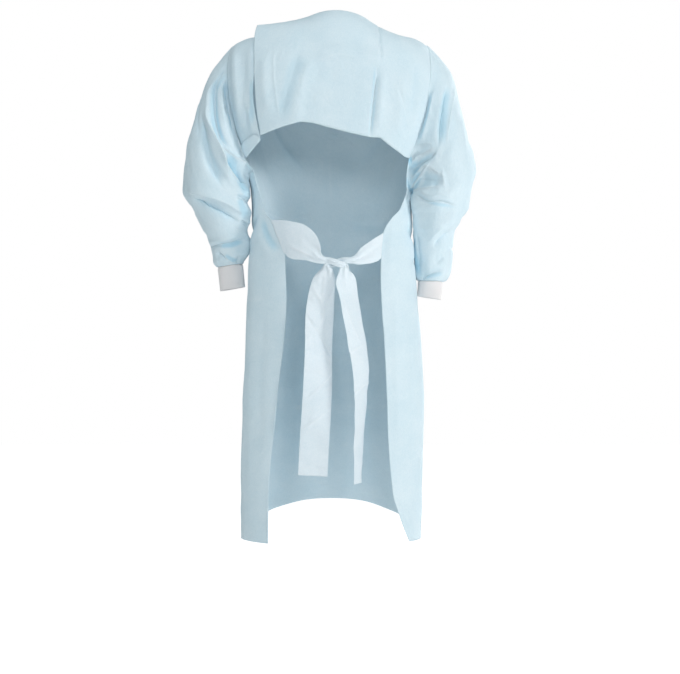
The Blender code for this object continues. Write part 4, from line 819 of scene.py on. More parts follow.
def with_flap(points, normal):
    """The left back piece with its lower end turned out: half a round bend in a third of the
    flap's rows, then back up over the outside by the flap's width."""
    up, out = unit(points[-1 - FLAP_UP_ROWS] - points[-1]), normal[-1]
    width = np.interp(points[-1, :, 0], FLAP_X, FLAP_WIDTH)[:, None]
    thirds = 3 * np.arange(1, FLAP_ROWS + 1)[:, None, None] / FLAP_ROWS
    bend = np.minimum(thirds, 1) * math.pi
    straight = np.maximum(thirds - 1, 0) / 2
    turned = (points[-1] + FLAP_BEND * (out * (1 - np.cos(bend)) - up * np.sin(bend))
              + (up + FLAP_BOW * out * (1 - straight)) * width * straight)
    return np.concatenate([points, turned])


# Sleeves and cuffs
def tube_ring(table, at, turn, side):
    """Points of a sleeve's or cuff's rings, which are ellipses squared off by a power: at is the
    table row, turn in degrees."""
    outer_x, outer_z, inner_x, inner_z, front_y, back_y = np.moveaxis(
        curve(np.arange(len(table)), table, at), -1, 0)
    out = power(np.cos(np.radians(turn)), SLEEVE_SQUARE)
    behind = power(np.sin(np.radians(turn)), SLEEVE_SQUARE)
    x = (outer_x + inner_x) / 2 + (outer_x - inner_x) / 2 * out
    z = (outer_z + inner_z) / 2 + (outer_z - inner_z) / 2 * out
    y = (back_y + front_y) / 2 + (back_y - front_y) / 2 * behind
    return np.stack([side * x, y, z], axis=-1)


def sleeve_fold_depth(side, at, turn):
    """How far a sleeve's folds move its cloth out, each a soft bump along its line."""
    out = np.zeros(np.broadcast(at, turn).shape)
    for fold_turn, row, end_turn, end_row, half_width, height in SLEEVE_FOLDS[side]:
        run = np.array([(end_turn - fold_turn) * TURN_LENGTH, (end_row - row) * ROW_LENGTH])
        around = (turn - fold_turn + 180) % 360 - 180
        x, y = around * TURN_LENGTH, (at - row) * ROW_LENGTH
        along = np.clip((x * run[0] + y * run[1]) / (run @ run), 0, 1)
        distance = np.hypot(x - along * run[0], y - along * run[1])
        out += height * np.exp(-((distance / half_width) ** 2))
    return out


def sleeve_points(side, at, turn):
    """A sleeve leaves the armhole along the body's own form, by a cubic, and bends into its
    tube, whose folds move it in or out from the tube's middle."""
    table = SLEEVE[side]
    angle, level = armhole(turn, side)
    middle_angle, middle_level = side * math.radians(90 + ARMHOLE_MIDDLE[0]), ARMHOLE_MIDDLE[1]
    start = body(angle, level)
    leaving = body(angle + SMALL_STEP * (middle_angle - angle),
                   level + SMALL_STEP * (middle_level - level)) - start
    joined = np.full(at.shape, SLEEVE_HEAD_ROWS)
    end = tube_ring(table, joined, turn, side)
    arriving = tube_ring(table, joined + SMALL_STEP, turn, side) - end
    span = np.linalg.norm(end - start, axis=-1, keepdims=True)
    above = UNDERARM_SHARE + (1 - UNDERARM_SHARE) * (1 + np.cos(np.radians(turn[..., None]))) / 2
    t = np.clip(at / SLEEVE_HEAD_ROWS, 0, 1)[..., None]
    head = hermite(t, start, unit(leaving) * HEAD_STIFFNESS * above * span,
                   end, unit(arriving) * span)
    row = np.maximum(at, SLEEVE_HEAD_ROWS)
    tube = tube_ring(table, row, turn, side)
    middle = (tube + tube_ring(table, row, turn + 180, side)) / 2
    fading = ease(at / SLEEVE_HEAD_ROWS) * ease((len(table) - 1 - at) / CUFF_END_ROWS)
    folds = unit(tube - middle) * (sleeve_fold_depth(side, at, turn) * fading)[..., None]
    return np.where(t < 1, head, tube) + folds


def lean_in(side, at, turn):
    """How far the sleeve's cloth leans towards the body: a soft bump round each ring."""
    rows = np.array(LEAN_IN[side])
    middle, reach = np.moveaxis(curve(rows[:, 0], rows[:, 1:], at), -1, 0)
    return reach * np.exp(-(((turn - middle) / LEAN_WIDTH) ** 2))


def tube_places(rows, count, side):
    """Table rows and turns in degrees of a tube's points, in the order that makes its faces
    point outwards."""
    turn = np.arange(count) * 360.0 / count
    return np.broadcast_arrays(rows[:, None], (turn if side == RIGHT else turn[::-1])[None, :])


def sleeve_grid(side):
    """Rings from the armhole seam to the cuff, with their table rows and turns."""
    rows = np.concatenate([np.linspace(0, SLEEVE_HEAD_ROWS, HEAD_RINGS + 1)[:-1],
                           np.linspace(SLEEVE_HEAD_ROWS, len(SLEEVE[side]) - 1.0, TUBE_RINGS)])
    at, turn = tube_places(rows, SLEEVE_TURNS, side)
    points = sleeve_points(side, at, turn)
    points[..., 0] -= side * lean_in(side, at, turn)
    points[0] = trimmed(points[0], points[1])
    return points, at, turn


def waves_round(turn, waves, uneven):
    """Sum of waves round a tube, each a sine shifted by a slower sine so that its crests wander,
    times a strength that dips in some places."""
    total = 0.0
    for count, start, wander, times, wander_start, height in waves:
        shift = wander * np.sin(np.radians(turn * times + wander_start))
        total = total + height * np.sin(np.radians(turn * count + start + shift))
    lost, places, start = uneven
    return total * (1 - lost + lost * np.sin(np.radians(turn * places + start)))


def gathers(to_cuff, turn):
    """Small uneven gathers above the cuff: waves round the sleeve that fade up its length."""
    fade = np.exp(-((to_cuff / GATHER_ROWS) ** 2)) * ease(to_cuff / GATHERS_STOP)
    return waves_round(turn, GATHERS, GATHERS_UNEVEN) * fade


def seam_puckers(at, turn):
    """A low ridge along the armhole seam, and short waves round it that fade down the sleeve."""
    height, row, half_width = SEAM_RIDGE
    ridge = height * np.exp(-(((at - row) / half_width) ** 2))
    waves = waves_round(turn, PUCKERS, PUCKERS_UNEVEN) * np.exp(-((at / PUCKER_ROWS) ** 2))
    return (ridge + waves) * ease(at / PUCKERS_START)


def cuff_grid(side):
    """A knitted tube: rings of the cuff's table, drawn in where it is sewn on, with a slight
    bulge and ribs as a wave round it."""
    table = np.vstack([SLEEVE[side][-1], CUFF[side]])
    at, turn = tube_places(np.linspace(0, len(table) - 1, CUFF_RINGS), CUFF_TURNS, side)
    points = tube_ring(table, at, turn, side)
    out = unit(points - points.mean(axis=1, keepdims=True))
    sway, in_a_row = RIB_SWAY
    sway = sway * np.sin(np.radians(at * in_a_row))
    ribs = RIB_DEPTH * np.cos(np.radians(turn * CUFF_RIBS + sway))
    down = at / (len(table) - 1)
    sewn = -CUFF_SEWN_IN * np.exp(-((down / CUFF_SEWN_SHARE) ** 2))
    height, count, start = CUFF_BULGE
    bulge = height * np.sin(math.pi * down) * np.sin(np.radians(turn * count + start))
    points = points + out * (ribs * ease(down / RIBS_START_SHARE) + sewn + bulge)[..., None]
    points[0] = trimmed(points[0], points[1])
    return points


# Cloth that is creased and crumpled
def grid_normals(points, closed=False):
    """Unit normals of a grid: across its columns crossed with down its rows."""
    if closed:
        across = np.roll(points, -1, axis=1) - np.roll(points, 1, axis=1)
    else:
        across = np.gradient(points, axis=1)
    return unit(np.cross(across, np.gradient(points, axis=0)))


def path_on_cloth(seen_from, places, cloth, cloth_normal):
    """A smooth path through places, laid on the cloth that faces that way: each step takes its
    depth and its normal from the nearest such point, both evened out along the path."""
    level_axis, depth_axis, sign = SEEN[seen_from]
    places = np.array(places, float) / 1000
    length = lengths_along(places)
    steps = max(int(length[-1] / PATH_STEP), LEAST_PATH_STEPS)
    flat_path = curve(length, places, np.linspace(0, length[-1], steps))
    facing = cloth_normal[:, depth_axis] * sign > FACING
    cloth, cloth_normal = cloth[facing], cloth_normal[facing]
    flat = cloth[:, [level_axis, 2]]
    nearest = np.array([np.argmin(((flat - place) ** 2).sum(1)) for place in flat_path])
    found = np.concatenate([cloth[nearest][:, [depth_axis]], cloth_normal[nearest]], axis=1)
    for _ in range(SMOOTHING_ROUNDS):
        padded = np.pad(found, ((2, 2), (0, 0)), mode="reflect", reflect_type="odd")
        found = sum(share * padded[i:i + len(found)] for i, share in enumerate(SMOOTHING))
    path = np.empty((steps, 3))
    path[:, [level_axis, 2]] = flat_path
    path[:, depth_axis] = found[:, 0]
    return path, unit(found[:, 1:])


def beside_path(points, normal, cloth, seen_from, half_width, lean, places):
    """The points near a path, how far each lies to its side, that distance in half widths of its
    flank, and a mask that fades towards the path's ends and leaves out the cloth that faces
    another way."""
    path, path_normal = path_on_cloth(seen_from, places, *cloth)
    forward = unit(np.gradient(path, axis=0))
    sideways = unit(np.cross(path_normal, forward))
    reach = half_width * CREASE_REACH
    near = np.where(((points > path.min(0) - reach) & (points < path.max(0) + reach)).all(1))[0]
    here = points[near]
    squared = ((here**2).sum(1)[:, None] - 2 * here @ path.T + (path**2).sum(1))
    step = np.argmin(squared, axis=1)
    offset = here - path[step]
    distance = (offset * sideways[step]).sum(1)
    length = np.linalg.norm(path[1] - path[0]) * (len(path) - 1)
    along = step / (len(path) - 1) + (offset * forward[step]).sum(1) / length
    beside = ((offset**2).sum(1) < (BESIDE_REACH * reach) ** 2) & (
        (normal[near] * path_normal[step]).sum(1) > LEAST_ALIKE)
    fade = beside * ease(along / CREASE_FADE[0]) * ease((1 - along) / CREASE_FADE[1])
    across = np.abs(distance) / (half_width * (1 + lean * np.sign(distance)))
    return near, distance, across, fade


def crease_depth(name, points, normal, cloth=None):
    """How far a piece's creases move its cloth out, and how its colour changes there: paler along
    a sharp crease (above 0), and painted shade, darker and more blue, in deep folds (below 0).

    Across a crease the cloth moves by its height times a bell curve of the distance, mixed with
    a sharper one by its crispness; lean widens one flank and narrows the other. cloth is all of
    the piece's points and normals, where points are only some of them.
    """
    shape = points.shape[:-1]
    points, normal = points.reshape(-1, 3), normal.reshape(-1, 3)
    cloth = cloth or (points, normal)
    out, crease_marks_and_shade, painted_shade = np.zeros((3, len(points)))
    for seen_from, half_width, height, lean, crisp, *places in CREASES[name]:
        near, distance, across, fade = beside_path(
            points, normal, cloth, seen_from, half_width / 1000, lean, places)
        sharper = CRISPER if height < 0 < crisp else 0
        crisp_here = CRISP_FROM[name] + (1 - CRISP_FROM[name]) * min(crisp + sharper, 1)
        bump = ((1 - crisp_here) * np.exp(-(across**2))
                + crisp_here * np.exp(-CRISP_FALL * across))
        out[near] += height * CREASE_GAIN[name] / 1000 * bump * fade
        if crisp > MARKED_FROM:
            mark = crisp * fade * np.exp(-((distance / MARK_WIDTH) ** 2))
            crease_marks_and_shade[near] = np.maximum(crease_marks_and_shade[near], mark)
    # Painted shade: darker, more blue bands along the listed paths of deep folds and shaded places
    for seen_from, half_width, strength, lean, *places in PAINTED_FOLD_SHADE.get(name, ()):
        near, _, across, fade = beside_path(
            points, normal, cloth, seen_from, half_width / 1000, lean, places)
        painted_shade[near] = np.maximum(painted_shade[near], strength * fade * np.exp(-(across**4)))
    # Painted shade: the colour value drops below 0 along those bands and in deep creases
    crease_marks_and_shade -= np.maximum(painted_shade, VALLEY_SHADE * ease(-out / VALLEY_DEPTH))
    return out.reshape(shape), crease_marks_and_shade.reshape(shape)


def creased(name, points, normal, held, cloth=None, added=0.0):
    """A piece's points moved out by its creases and its crumpling, which is facets of two sizes,
    as far as held lets them, and by what is added; and its paler crease lines and painted shade."""
    size, deep, small_size, small_deep = CRUMPLE[name]
    out, crease_marks_and_shade = crease_depth(name, points, normal, cloth)
    out = out + (deep * facets(points, size, SEEDS[name])
                 + small_deep * facets(points, small_size, SEEDS[name] + FINER_SEED))
    return points + normal * (out * held + added)[..., None], crease_marks_and_shade


def held_at_seams(points, top=False, left=False, right=False):
    """1 inside a grid, eased to 0 at the edges of it that are sewn."""
    rows, columns = points.shape[:2]
    down, across = np.arange(rows)[:, None], np.arange(columns)[None, :]
    held = np.ones((rows, columns))
    for sewn, steps in ((top, down), (left, across), (right, columns - 1 - across)):
        if sewn:
            held *= ease(steps / SEWN_STEPS)
    return held


def flat_lengths(points, closed=False):
    """Places on the flat cloth in metres: mean lengths across the columns and down the rows."""
    around = np.concatenate([points, points[:, :1]], axis=1) if closed else points
    across = np.linalg.norm(np.diff(around, axis=1), axis=-1).mean(axis=0)
    down = np.linalg.norm(np.diff(points, axis=0), axis=-1).mean(axis=1)
    return [np.concatenate([[0], np.cumsum(steps)]) for steps in (across, down)]


# Meshes
def cells(rows, columns, closed):
    """Row and column of each quad of a grid, with its last column joined on if closed."""
    return [part.ravel() for part in np.meshgrid(
        np.arange(rows - 1), np.arange(columns if closed else columns - 1), indexing="ij")]


def grid_faces(rows, columns, closed=False):
    """Quads between the rows and columns of a grid."""
    r, c = cells(rows, columns, closed)
    after = (c + 1) % columns
    return np.stack([r * columns + c, r * columns + after,
                     (r + 1) * columns + after, (r + 1) * columns + c], axis=1)


def face_places(u, v, rows, columns, closed=False):
    """Flat places of the four corners of each quad of a grid."""
    r, c = cells(rows, columns, closed)
    corners = [(u[c], v[r]), (u[c + 1], v[r]), (u[c + 1], v[r + 1]), (u[c], v[r + 1])]
    return np.stack([np.stack(corner, axis=1) for corner in corners], axis=1).reshape(-1, 2)


def make_piece(name, points, faces, places, look, crease_marks_and_shade, thickness=None):
    """A mesh object with its flat places as a UV map, its paler crease lines and painted shade as
    a colour value, and a sheet's thickness on the inner side."""
    mesh = bpy.data.meshes.new(name)
    mesh.from_pydata(points.reshape(-1, 3).tolist(), [], faces.tolist())
    flat = mesh.uv_layers.new(name="flat_cloth")
    flat.data.foreach_set("uv", np.asarray(places, np.float32).ravel())
    if crease_marks_and_shade is not None:
        changed = mesh.attributes.new("creased", "FLOAT", "POINT")
        changed.data.foreach_set("value", np.asarray(crease_marks_and_shade, np.float32).ravel())
    mesh.shade_smooth()
    mesh.materials.append(look)
    piece = bpy.data.objects.new(name, mesh)
    bpy.context.scene.collection.objects.link(piece)
    if thickness:
        wall = piece.modifiers.new("thickness", "SOLIDIFY")
        wall.thickness = thickness
        wall.offset = -1
    return piece


def grid_piece(name, points, look, closed=False, thickness=CLOTH, crease_marks_and_shade=None):
    """A sheet from one grid of points."""
    rows, columns = points.shape[:2]
    places = face_places(*flat_lengths(points, closed), rows, columns, closed)
    faces = grid_faces(rows, columns, closed)
    return make_piece(name, points, faces, places, look, crease_marks_and_shade, thickness)


def front_body_piece(look):
    """Front and sides: both grids creased together, and joined along the row that they share."""
    upper, lower = body_panel_grids()
    upper_normal, lower_normal = grid_normals(upper), grid_normals(lower)
    cloth = tuple(np.concatenate([part.reshape(-1, 3) for part in parts])
                  for parts in ((upper, lower), (upper_normal, lower_normal)))
    held = held_at_seams(upper, left=True, right=True)
    upper, upper_marks_and_shade = creased("front_body", upper, upper_normal, held, cloth)
    rows, columns = lower.shape[:2]
    held = np.repeat(ease(np.arange(rows) / JOIN_ROWS)[:, None], columns, axis=1)
    held[:, SHARED] = 1
    lower, lower_marks_and_shade = creased("front_body", lower, lower_normal, held, cloth)
    blend = ease(np.arange(JOIN_ROWS + 1) / JOIN_ROWS)[:, None, None]
    lower[:JOIN_ROWS + 1, SHARED] += (upper[-1] - lower[0, SHARED]) * (1 - blend)

    first = (len(upper) - 1) * upper.shape[1]
    number = np.arange(rows * columns).reshape(rows, columns) + first + upper.shape[1]
    number[0, SHARED] = np.arange(upper.shape[1]) + first
    faces = np.concatenate([grid_faces(*upper.shape[:2]),
                            number.ravel()[grid_faces(rows, columns)]])
    points = np.concatenate([upper.reshape(-1, 3), lower.reshape(-1, 3)])
    crease_marks_and_shade = np.concatenate([upper_marks_and_shade.ravel(), lower_marks_and_shade.ravel()])
    u, v = flat_lengths(lower)
    upper_v = flat_lengths(upper)[1]
    upper_places = face_places(u[SHARED], upper_v - upper_v[-1], *upper.shape[:2])
    places = np.concatenate([upper_places, face_places(u, v, rows, columns)])
    used, again = np.unique(faces, return_inverse=True)
    return make_piece("front_and_sides", points[used], again.reshape(-1, 4), places, look,
                      crease_marks_and_shade[used], CLOTH)


def yoke_piece(look):
    """The upper back panel, sewn along its top and its right edge."""
    points = yoke_grid()
    held = held_at_seams(points, top=True, left=True)
    points, crease_marks_and_shade = creased("back_yoke", points, grid_normals(points), held)
    return grid_piece("upper_back", points, look, crease_marks_and_shade=crease_marks_and_shade)


def back_left_piece(look):
    """The narrow back piece, sewn along its top and its outer edge, with its flap."""
    points = back_left_grid()
    held = held_at_seams(points, top=True, right=True)
    points, crease_marks_and_shade = creased("back_left", points, grid_normals(points), held)
    points = with_flap(points, grid_normals(points))
    crease_marks_and_shade = np.concatenate([crease_marks_and_shade, np.zeros((FLAP_ROWS, crease_marks_and_shade.shape[1]))])
    return grid_piece("back_left_strip", points, look, crease_marks_and_shade=crease_marks_and_shade)


def sleeve_piece(name, node, side, look):
    """A sleeve with its creases, its gathers above the cuff and its puckers at the armhole."""
    points, at, turn = sleeve_grid(side)
    to_cuff = len(SLEEVE[side]) - 1 - at
    held = ease(at / CREASES_START) * ease(to_cuff / CREASES_STOP)
    small = gathers(to_cuff, turn) + seam_puckers(at, turn)
    points, crease_marks_and_shade = creased(node, points, grid_normals(points, True), held, added=small)
    return grid_piece(name, points, look, closed=True, crease_marks_and_shade=crease_marks_and_shade)


# Ties
def knot_strand(side):
    """A tie's way through the half knot: half a turn round the knot's level axis, lying flat."""
    t = np.linspace(0, 1, KNOT_STEPS)
    angle = math.pi / 2 + side * 2 * math.pi * KNOT_TURNS * t
    rows = np.zeros((KNOT_STEPS, 8))
    rows[:, 0] = KNOT_CENTRE[0] + side * KNOT_LENGTH * (0.5 - t)
    rows[:, 1] = KNOT_CENTRE[1] - KNOT_RADIUS * np.cos(angle)
    rows[:, 2] = KNOT_CENTRE[2] + KNOT_RADIUS * np.sin(angle)
    rows[:, 3], rows[:, 4] = KNOT_BAND
    rows[:, 7] = 1.0
    return rows


def tie_root(side):
    """First row of a tie, along the body panel's back edge."""
    top, bottom = [body(panel_edge_angle(side, level), level) for level in tie_levels(side)]
    across = top - bottom
    width = np.linalg.norm(across)
    return np.array([*((top + bottom) / 2), width, TIE_THICKNESS, *(across / width)])


def pleats(at, wide, side):
    """Waves across a tie's width, whose places and heights drift along it."""
    sway, along, across, start = PLEAT_SWAY
    share = wide / 2 + 0.5 + sway * np.sin(at * along + side) * np.sin(across * wide + start)
    lost, across, along = PLEAT_UNEVEN
    height = 1 - lost + lost * np.sin(across * wide + at * along)
    return np.cos(math.pi * KNOT_PLEATS * share) * height


def tie_piece(name, node, side, look):
    """A tie: sewn to the panel, gathered into pleats through the knot, and hanging flat below.

    Its section is a flattened ellipse whose two faces carry the same pleats: waves across the
    width that grow as the tie narrows.
    """
    rows = np.vstack([tie_root(side), TIE_BANDS[side], knot_strand(side), TIE_TAILS[side]])
    length = lengths_along(rows[:, :3])
    at = np.linspace(0, length[-1], int(length[-1] / TIE_STEP))
    path = curve(length, rows, at)
    centre, width, thickness, across = path[:, :3], path[:, 3:4], path[:, 4:5], path[:, 5:]
    forward = unit(np.gradient(centre, at, axis=0))
    at = at[:, None]
    along = (across * forward).sum(1, keepdims=True) * forward
    across = unit(across - along * ease(at / TIE_SQUARE_BY))
    over = unit(np.cross(forward, across))[:, None]

    around = np.arange(TIE_POINTS) * 2 * math.pi / TIE_POINTS
    wide, thick = [power(wave, square) for wave, square in zip(
        (np.cos(around), np.sin(around)), TIE_SQUARE)]
    flat = centre[:, None] + across[:, None] * (wide * width / 2)[..., None]
    gathered = ease((TIE_WIDTH - width) / (TIE_WIDTH - GATHERED_WIDTH))
    pleat = PLEAT_DEPTH[0] * gathered * (1 - gathered) + PLEAT_DEPTH[1] * gathered
    height, size, seed = TIE_RUFFLE
    facet_size, facet_seed = TIE_FACETS
    ruffle = (height * cloud(flat, size, seed)
              + TIE_CRUMPLE[side] * facets(flat, facet_size, facet_seed + side))
    creases, crease_marks_and_shade = crease_depth(node, flat, np.broadcast_to(side * over, flat.shape))
    out = (thick * (thickness - TIE_FLAT + TIE_THICKNESS) / 2 + pleat * pleats(at, wide, side)
           + side * creases * ease(at / TIE_CREASES_START) + ruffle * (1 - gathered))
    points = flat + over * out[..., None]

    places = face_places(*flat_lengths(points, True), len(at), TIE_POINTS, True)
    ends = np.arange(TIE_POINTS // 2 - 1)
    caps = [first + np.stack([ends, ends + 1, TIE_POINTS - 2 - ends, TIE_POINTS - 1 - ends], axis=1)
            for first in (0, (len(at) - 1) * TIE_POINTS)]
    caps = np.concatenate([caps[0][:, ::-1], caps[1]])
    faces = np.concatenate([grid_faces(len(at), TIE_POINTS, True), caps])
    places = np.concatenate([places, np.zeros((caps.size, 2))])
    return make_piece(name, points, faces, places, look, crease_marks_and_shade)


# Materials
POINT_PITCH = 0.0017  # between the rows of bonded points
STITCH_WIDTH, STITCH_HEIGHT = 0.0024, 0.0016
# Of bonded cloth: colours of its pale fibres and its deep ones, the colour of the painted shade in
# its folds, and its roughness
SKY_FINISH = ((0.735, 0.85, 0.91), (0.61, 0.765, 0.845), (0.38, 0.67, 0.83), 0.74)
STRAP_FINISH = ((0.84, 0.91, 0.96), (0.72, 0.83, 0.90), (0.62, 0.80, 0.90), 0.72)
KNIT_FINISH = ((0.93, 0.91, 0.91), (0.78, 0.76, 0.77))  # of its stitches and between them


def fill(tree, node, **values):
    """Gives a node's inputs, by name or by number, their values or links."""
    for key, value in values.items():
        socket = node.inputs[int(key[1:])] if key[0] == "_" else node.inputs[key.replace("_", " ")]
        if isinstance(value, bpy.types.NodeSocket):
            tree.links.new(value, socket)
        else:
            socket.default_value = value
    return node


def add(tree, kind, settings=None, **values):
    """A new shader node with its properties set and its inputs filled."""
    node = tree.nodes.new("ShaderNode" + kind)
    for key, value in (settings or {}).items():
        setattr(node, key, value)
    return fill(tree, node, **values)


def maths(tree, operation, first, second=0.0, third=0.0):
    """The result of a Math node."""
    return add(tree, "Math", {"operation": operation}, _0=first, _1=second, _2=third).outputs[0]


def weighted(tree, *terms, start=0.0):
    """A starting value and the terms, each a value times its weight, added up."""
    for value, weight in terms:
        start = maths(tree, "MULTIPLY_ADD", value, weight, start)
    return start


def noise(tree, place, scale, detail, **values):
    """The strength of a noise texture."""
    return add(tree, "TexNoise", Vector=place, Scale=scale, Detail=detail, **values).outputs["Fac"]


def ranged(tree, value, low, high, kind="LINEAR"):
    """0 below low, 1 above high, and a straight or a smooth way between."""
    return add(tree, "MapRange", {"interpolation_type": kind}, Value=value, From_Min=low,
               From_Max=high).outputs[0]


def mixed_colour(tree, share, first, second):
    """From the first colour to the second by a share."""
    return add(tree, "Mix", {"data_type": "RGBA", "clamp_factor": True}, _0=share, _6=first,
               _7=second).outputs[2]


def bonded_fibres_group():
    """Bonded fibre cloth: cloudy fibres, rows of small bonded points, paler sharp creases, and
    painted shade, darker and more blue, in deep ones."""
    tree = bpy.data.node_groups.new("bonded fibre cloth", "ShaderNodeTree")
    for name, kind in (("Place", "Vector"), ("Creased", "Float"), ("Pale", "Color"),
                       ("Deep", "Color"), ("Fold", "Color"), ("Point Pitch", "Float"),
                       ("Roughness", "Float")):
        tree.interface.new_socket(name, in_out="INPUT", socket_type="NodeSocket" + kind)
    for name, kind in (("Color", "Color"), ("Roughness", "Float"), ("Height", "Float")):
        tree.interface.new_socket(name, in_out="OUTPUT", socket_type="NodeSocket" + kind)
    given = tree.nodes.new("NodeGroupInput").outputs
    place = given["Place"]
    fibres = noise(tree, place, 260.0, 5.0, Roughness=0.62, Distortion=1.4)
    long_way = add(tree, "Mapping", Vector=place, Scale=(900.0, 120.0, 1.0)).outputs[0]
    strands = noise(tree, long_way, 1.0, 3.0, Roughness=0.5, Distortion=0.8)
    drift = noise(tree, place, 14.0, 3.0, Roughness=0.55)
    parts = add(tree, "SeparateXYZ", Vector=place).outputs
    turns = maths(tree, "DIVIDE", 2 * math.pi, given["Point Pitch"])
    waves = [maths(tree, "COSINE", maths(tree, "MULTIPLY", maths(
        tree, way, parts["X"], parts["Y"]), turns)) for way in ("ADD", "SUBTRACT")]
    points = ranged(tree, maths(tree, "ADD", *waves), 0.9, 1.8, "SMOOTHSTEP")
    cloudy = weighted(tree, (fibres, 0.5), (strands, 0.25), (drift, 0.45))
    paler = maths(tree, "MAXIMUM", given["Creased"], 0.0)
    shade = weighted(tree, (points, -0.16), (paler, 0.35), start=ranged(tree, cloudy, 0.42, 0.78))
    colour = mixed_colour(tree, shade, given["Deep"], given["Pale"])
    # Painted shade: where the crease value is below 0, the colour goes towards the darker shade
    # colour
    colour = mixed_colour(tree, maths(tree, "MULTIPLY", given["Creased"], -0.8), colour,
                          given["Fold"])
    uneven = maths(tree, "SUBTRACT", fibres, 0.5)
    rough = weighted(tree, (uneven, 0.18), (points, -0.12), start=given["Roughness"])
    height = weighted(tree, (cloudy, 0.55), (points, -0.45))
    fill(tree, tree.nodes.new("NodeGroupOutput"), Color=colour, Roughness=rough, Height=height)
    return tree


def new_finish(name):
    """A material, its node tree and shader, and the places on the flat cloth that it reads."""
    made = bpy.data.materials.new(name)
    made.use_nodes = True
    tree = made.node_tree
    place = add(tree, "UVMap", {"uv_map": "flat_cloth"}).outputs["UV"]
    return made, tree, tree.nodes["Principled BSDF"], place


def nonwoven(name, group, pale, deep, fold, roughness):
    """Cloth finish: the bonded fibre group, a fine bump over a soft one, and a faint waxy sheen."""
    made, tree, shader, place = new_finish(name)
    creases = add(tree, "Attribute", {"attribute_name": "creased"}).outputs["Fac"]
    # The fold colour given here is the painted shade of deep folds
    cloth = add(tree, "Group", {"node_tree": group}, Place=place, Creased=creases,
                Pale=(*pale, 1), Deep=(*deep, 1), Fold=(*fold, 1), Point_Pitch=POINT_PITCH,
                Roughness=roughness).outputs
    crumple = add(tree, "TexVoronoi", {"feature": "DISTANCE_TO_EDGE"}, Vector=place,
                  Scale=46.0, Randomness=1.0).outputs["Distance"]
    soft = add(tree, "Bump", Strength=0.10, Distance=0.004,
               Height=ranged(tree, crumple, 0.0, 0.35, "SMOOTHSTEP")).outputs[0]
    bump = add(tree, "Bump", Strength=0.35, Distance=0.0004, Height=cloth["Height"],
               Normal=soft).outputs[0]
    fill(tree, shader, Base_Color=cloth["Color"], Roughness=cloth["Roughness"], Normal=bump,
         Specular_IOR_Level=0.22, Sheen_Weight=0.05, Sheen_Roughness=0.4)
    return made


def knitted(name, pale, deep):
    """Ribbed knit: rows of small V stitches as two slanting waves, with soft fuzz."""
    made, tree, shader, place = new_finish(name)
    parts = add(tree, "SeparateXYZ", Vector=place).outputs
    across = maths(tree, "MULTIPLY", parts["X"], math.pi / STITCH_WIDTH)
    lean = maths(tree, "ABSOLUTE", maths(tree, "SINE", across))
    down = maths(tree, "MULTIPLY", parts["Y"], 2 * math.pi / STITCH_HEIGHT)
    stitch = maths(tree, "SINE", weighted(tree, (lean, 1.5), start=down))
    stitch = maths(tree, "MULTIPLY_ADD", stitch, 0.5, 0.5)
    fuzz = noise(tree, place, 900.0, 4.0)
    drift = noise(tree, place, 30.0, 2.0)
    shade = weighted(tree, (stitch, 0.45), (fuzz, 0.45), (drift, 0.25))
    height = weighted(tree, (stitch, 0.7), (fuzz, 0.3))
    bump = add(tree, "Bump", Strength=0.5, Distance=0.0005, Height=height).outputs[0]
    fill(tree, shader, Base_Color=mixed_colour(tree, shade, (*deep, 1), (*pale, 1)), Normal=bump,
         Roughness=0.88, Specular_IOR_Level=0.25, Sheen_Weight=0.25)
    return made


# Studio
CAMERA_PLACE = (-0.0217, 4.6, -0.7176)
FRAME_WIDTH_PX = 680
FOCAL_PX = 2000
SENSOR = 36.0
FLOOR_Z = -1.454
FLOOR_HALF = 9.0
WHITE = (1, 1, 1, 1)
# name, place, aimed at, size, watts, colour
LIGHTS = (
    ("key", (-3.3, 1.9, 0.1), (0.0, 0.0, -0.5), 0.7, 48.0, (1.0, 0.96, 0.93)),
    ("fill", (-0.9, 4.4, 0.9), (0.0, 0.0, -0.4), 1.2, 40.0, (1.0, 1.0, 1.0)),
    ("top", (0.6, 0.8, 2.6), (0.0, 0.0, -0.3), 1.4, 20.0, (1.0, 1.0, 1.0)),
    ("side", (2.2, 2.0, 2.2), (0.2, 0.0, -0.1), 0.9, 10.0, (0.96, 0.99, 1.0)),
    ("front", (-2.6, -3.0, 1.0), (0.0, 0.0, -0.5), 1.2, 70.0, (1.0, 1.0, 1.0)),
)


def seen_or_lighting(tree, lighting, seen, output):
    """Sends one shader to the camera and another to everything that is lit by it."""
    ray = add(tree, "LightPath").outputs["Is Camera Ray"]
    both = add(tree, "MixShader", _0=ray, _1=lighting.outputs[0], _2=seen.outputs[0])
    tree.links.new(both.outputs[0], tree.nodes[output].inputs["Surface"])


def pale_floor():
    """White paper floor: lit evenly as the camera sees it, and a little dimmer on the cloth."""
    made = bpy.data.materials.new("pale_floor")
    made.use_nodes = True
    tree = made.node_tree
    finishes = [tree.nodes["Principled BSDF"], add(tree, "BsdfPrincipled")]
    for finish, base, glow in zip(finishes, (0.80, 0.60), (0.30, 0.86)):
        fill(tree, finish, Base_Color=(base, base, base, 1), Roughness=0.9, Emission_Color=WHITE,
             Emission_Strength=glow)
    seen_or_lighting(tree, *finishes, "Material Output")
    return made


def surround():
    """A world that is white to the camera, and dimmer and bluer on the cloth."""
    world = bpy.data.worlds.new("surround")
    world.use_nodes = True
    tree = world.node_tree
    lighting = fill(tree, tree.nodes["Background"], Color=(0.85, 0.97, 1.0, 1), Strength=0.30)
    seen = add(tree, "Background", Color=WHITE, Strength=1.0)
    seen_or_lighting(tree, lighting, seen, "World Output")
    return world


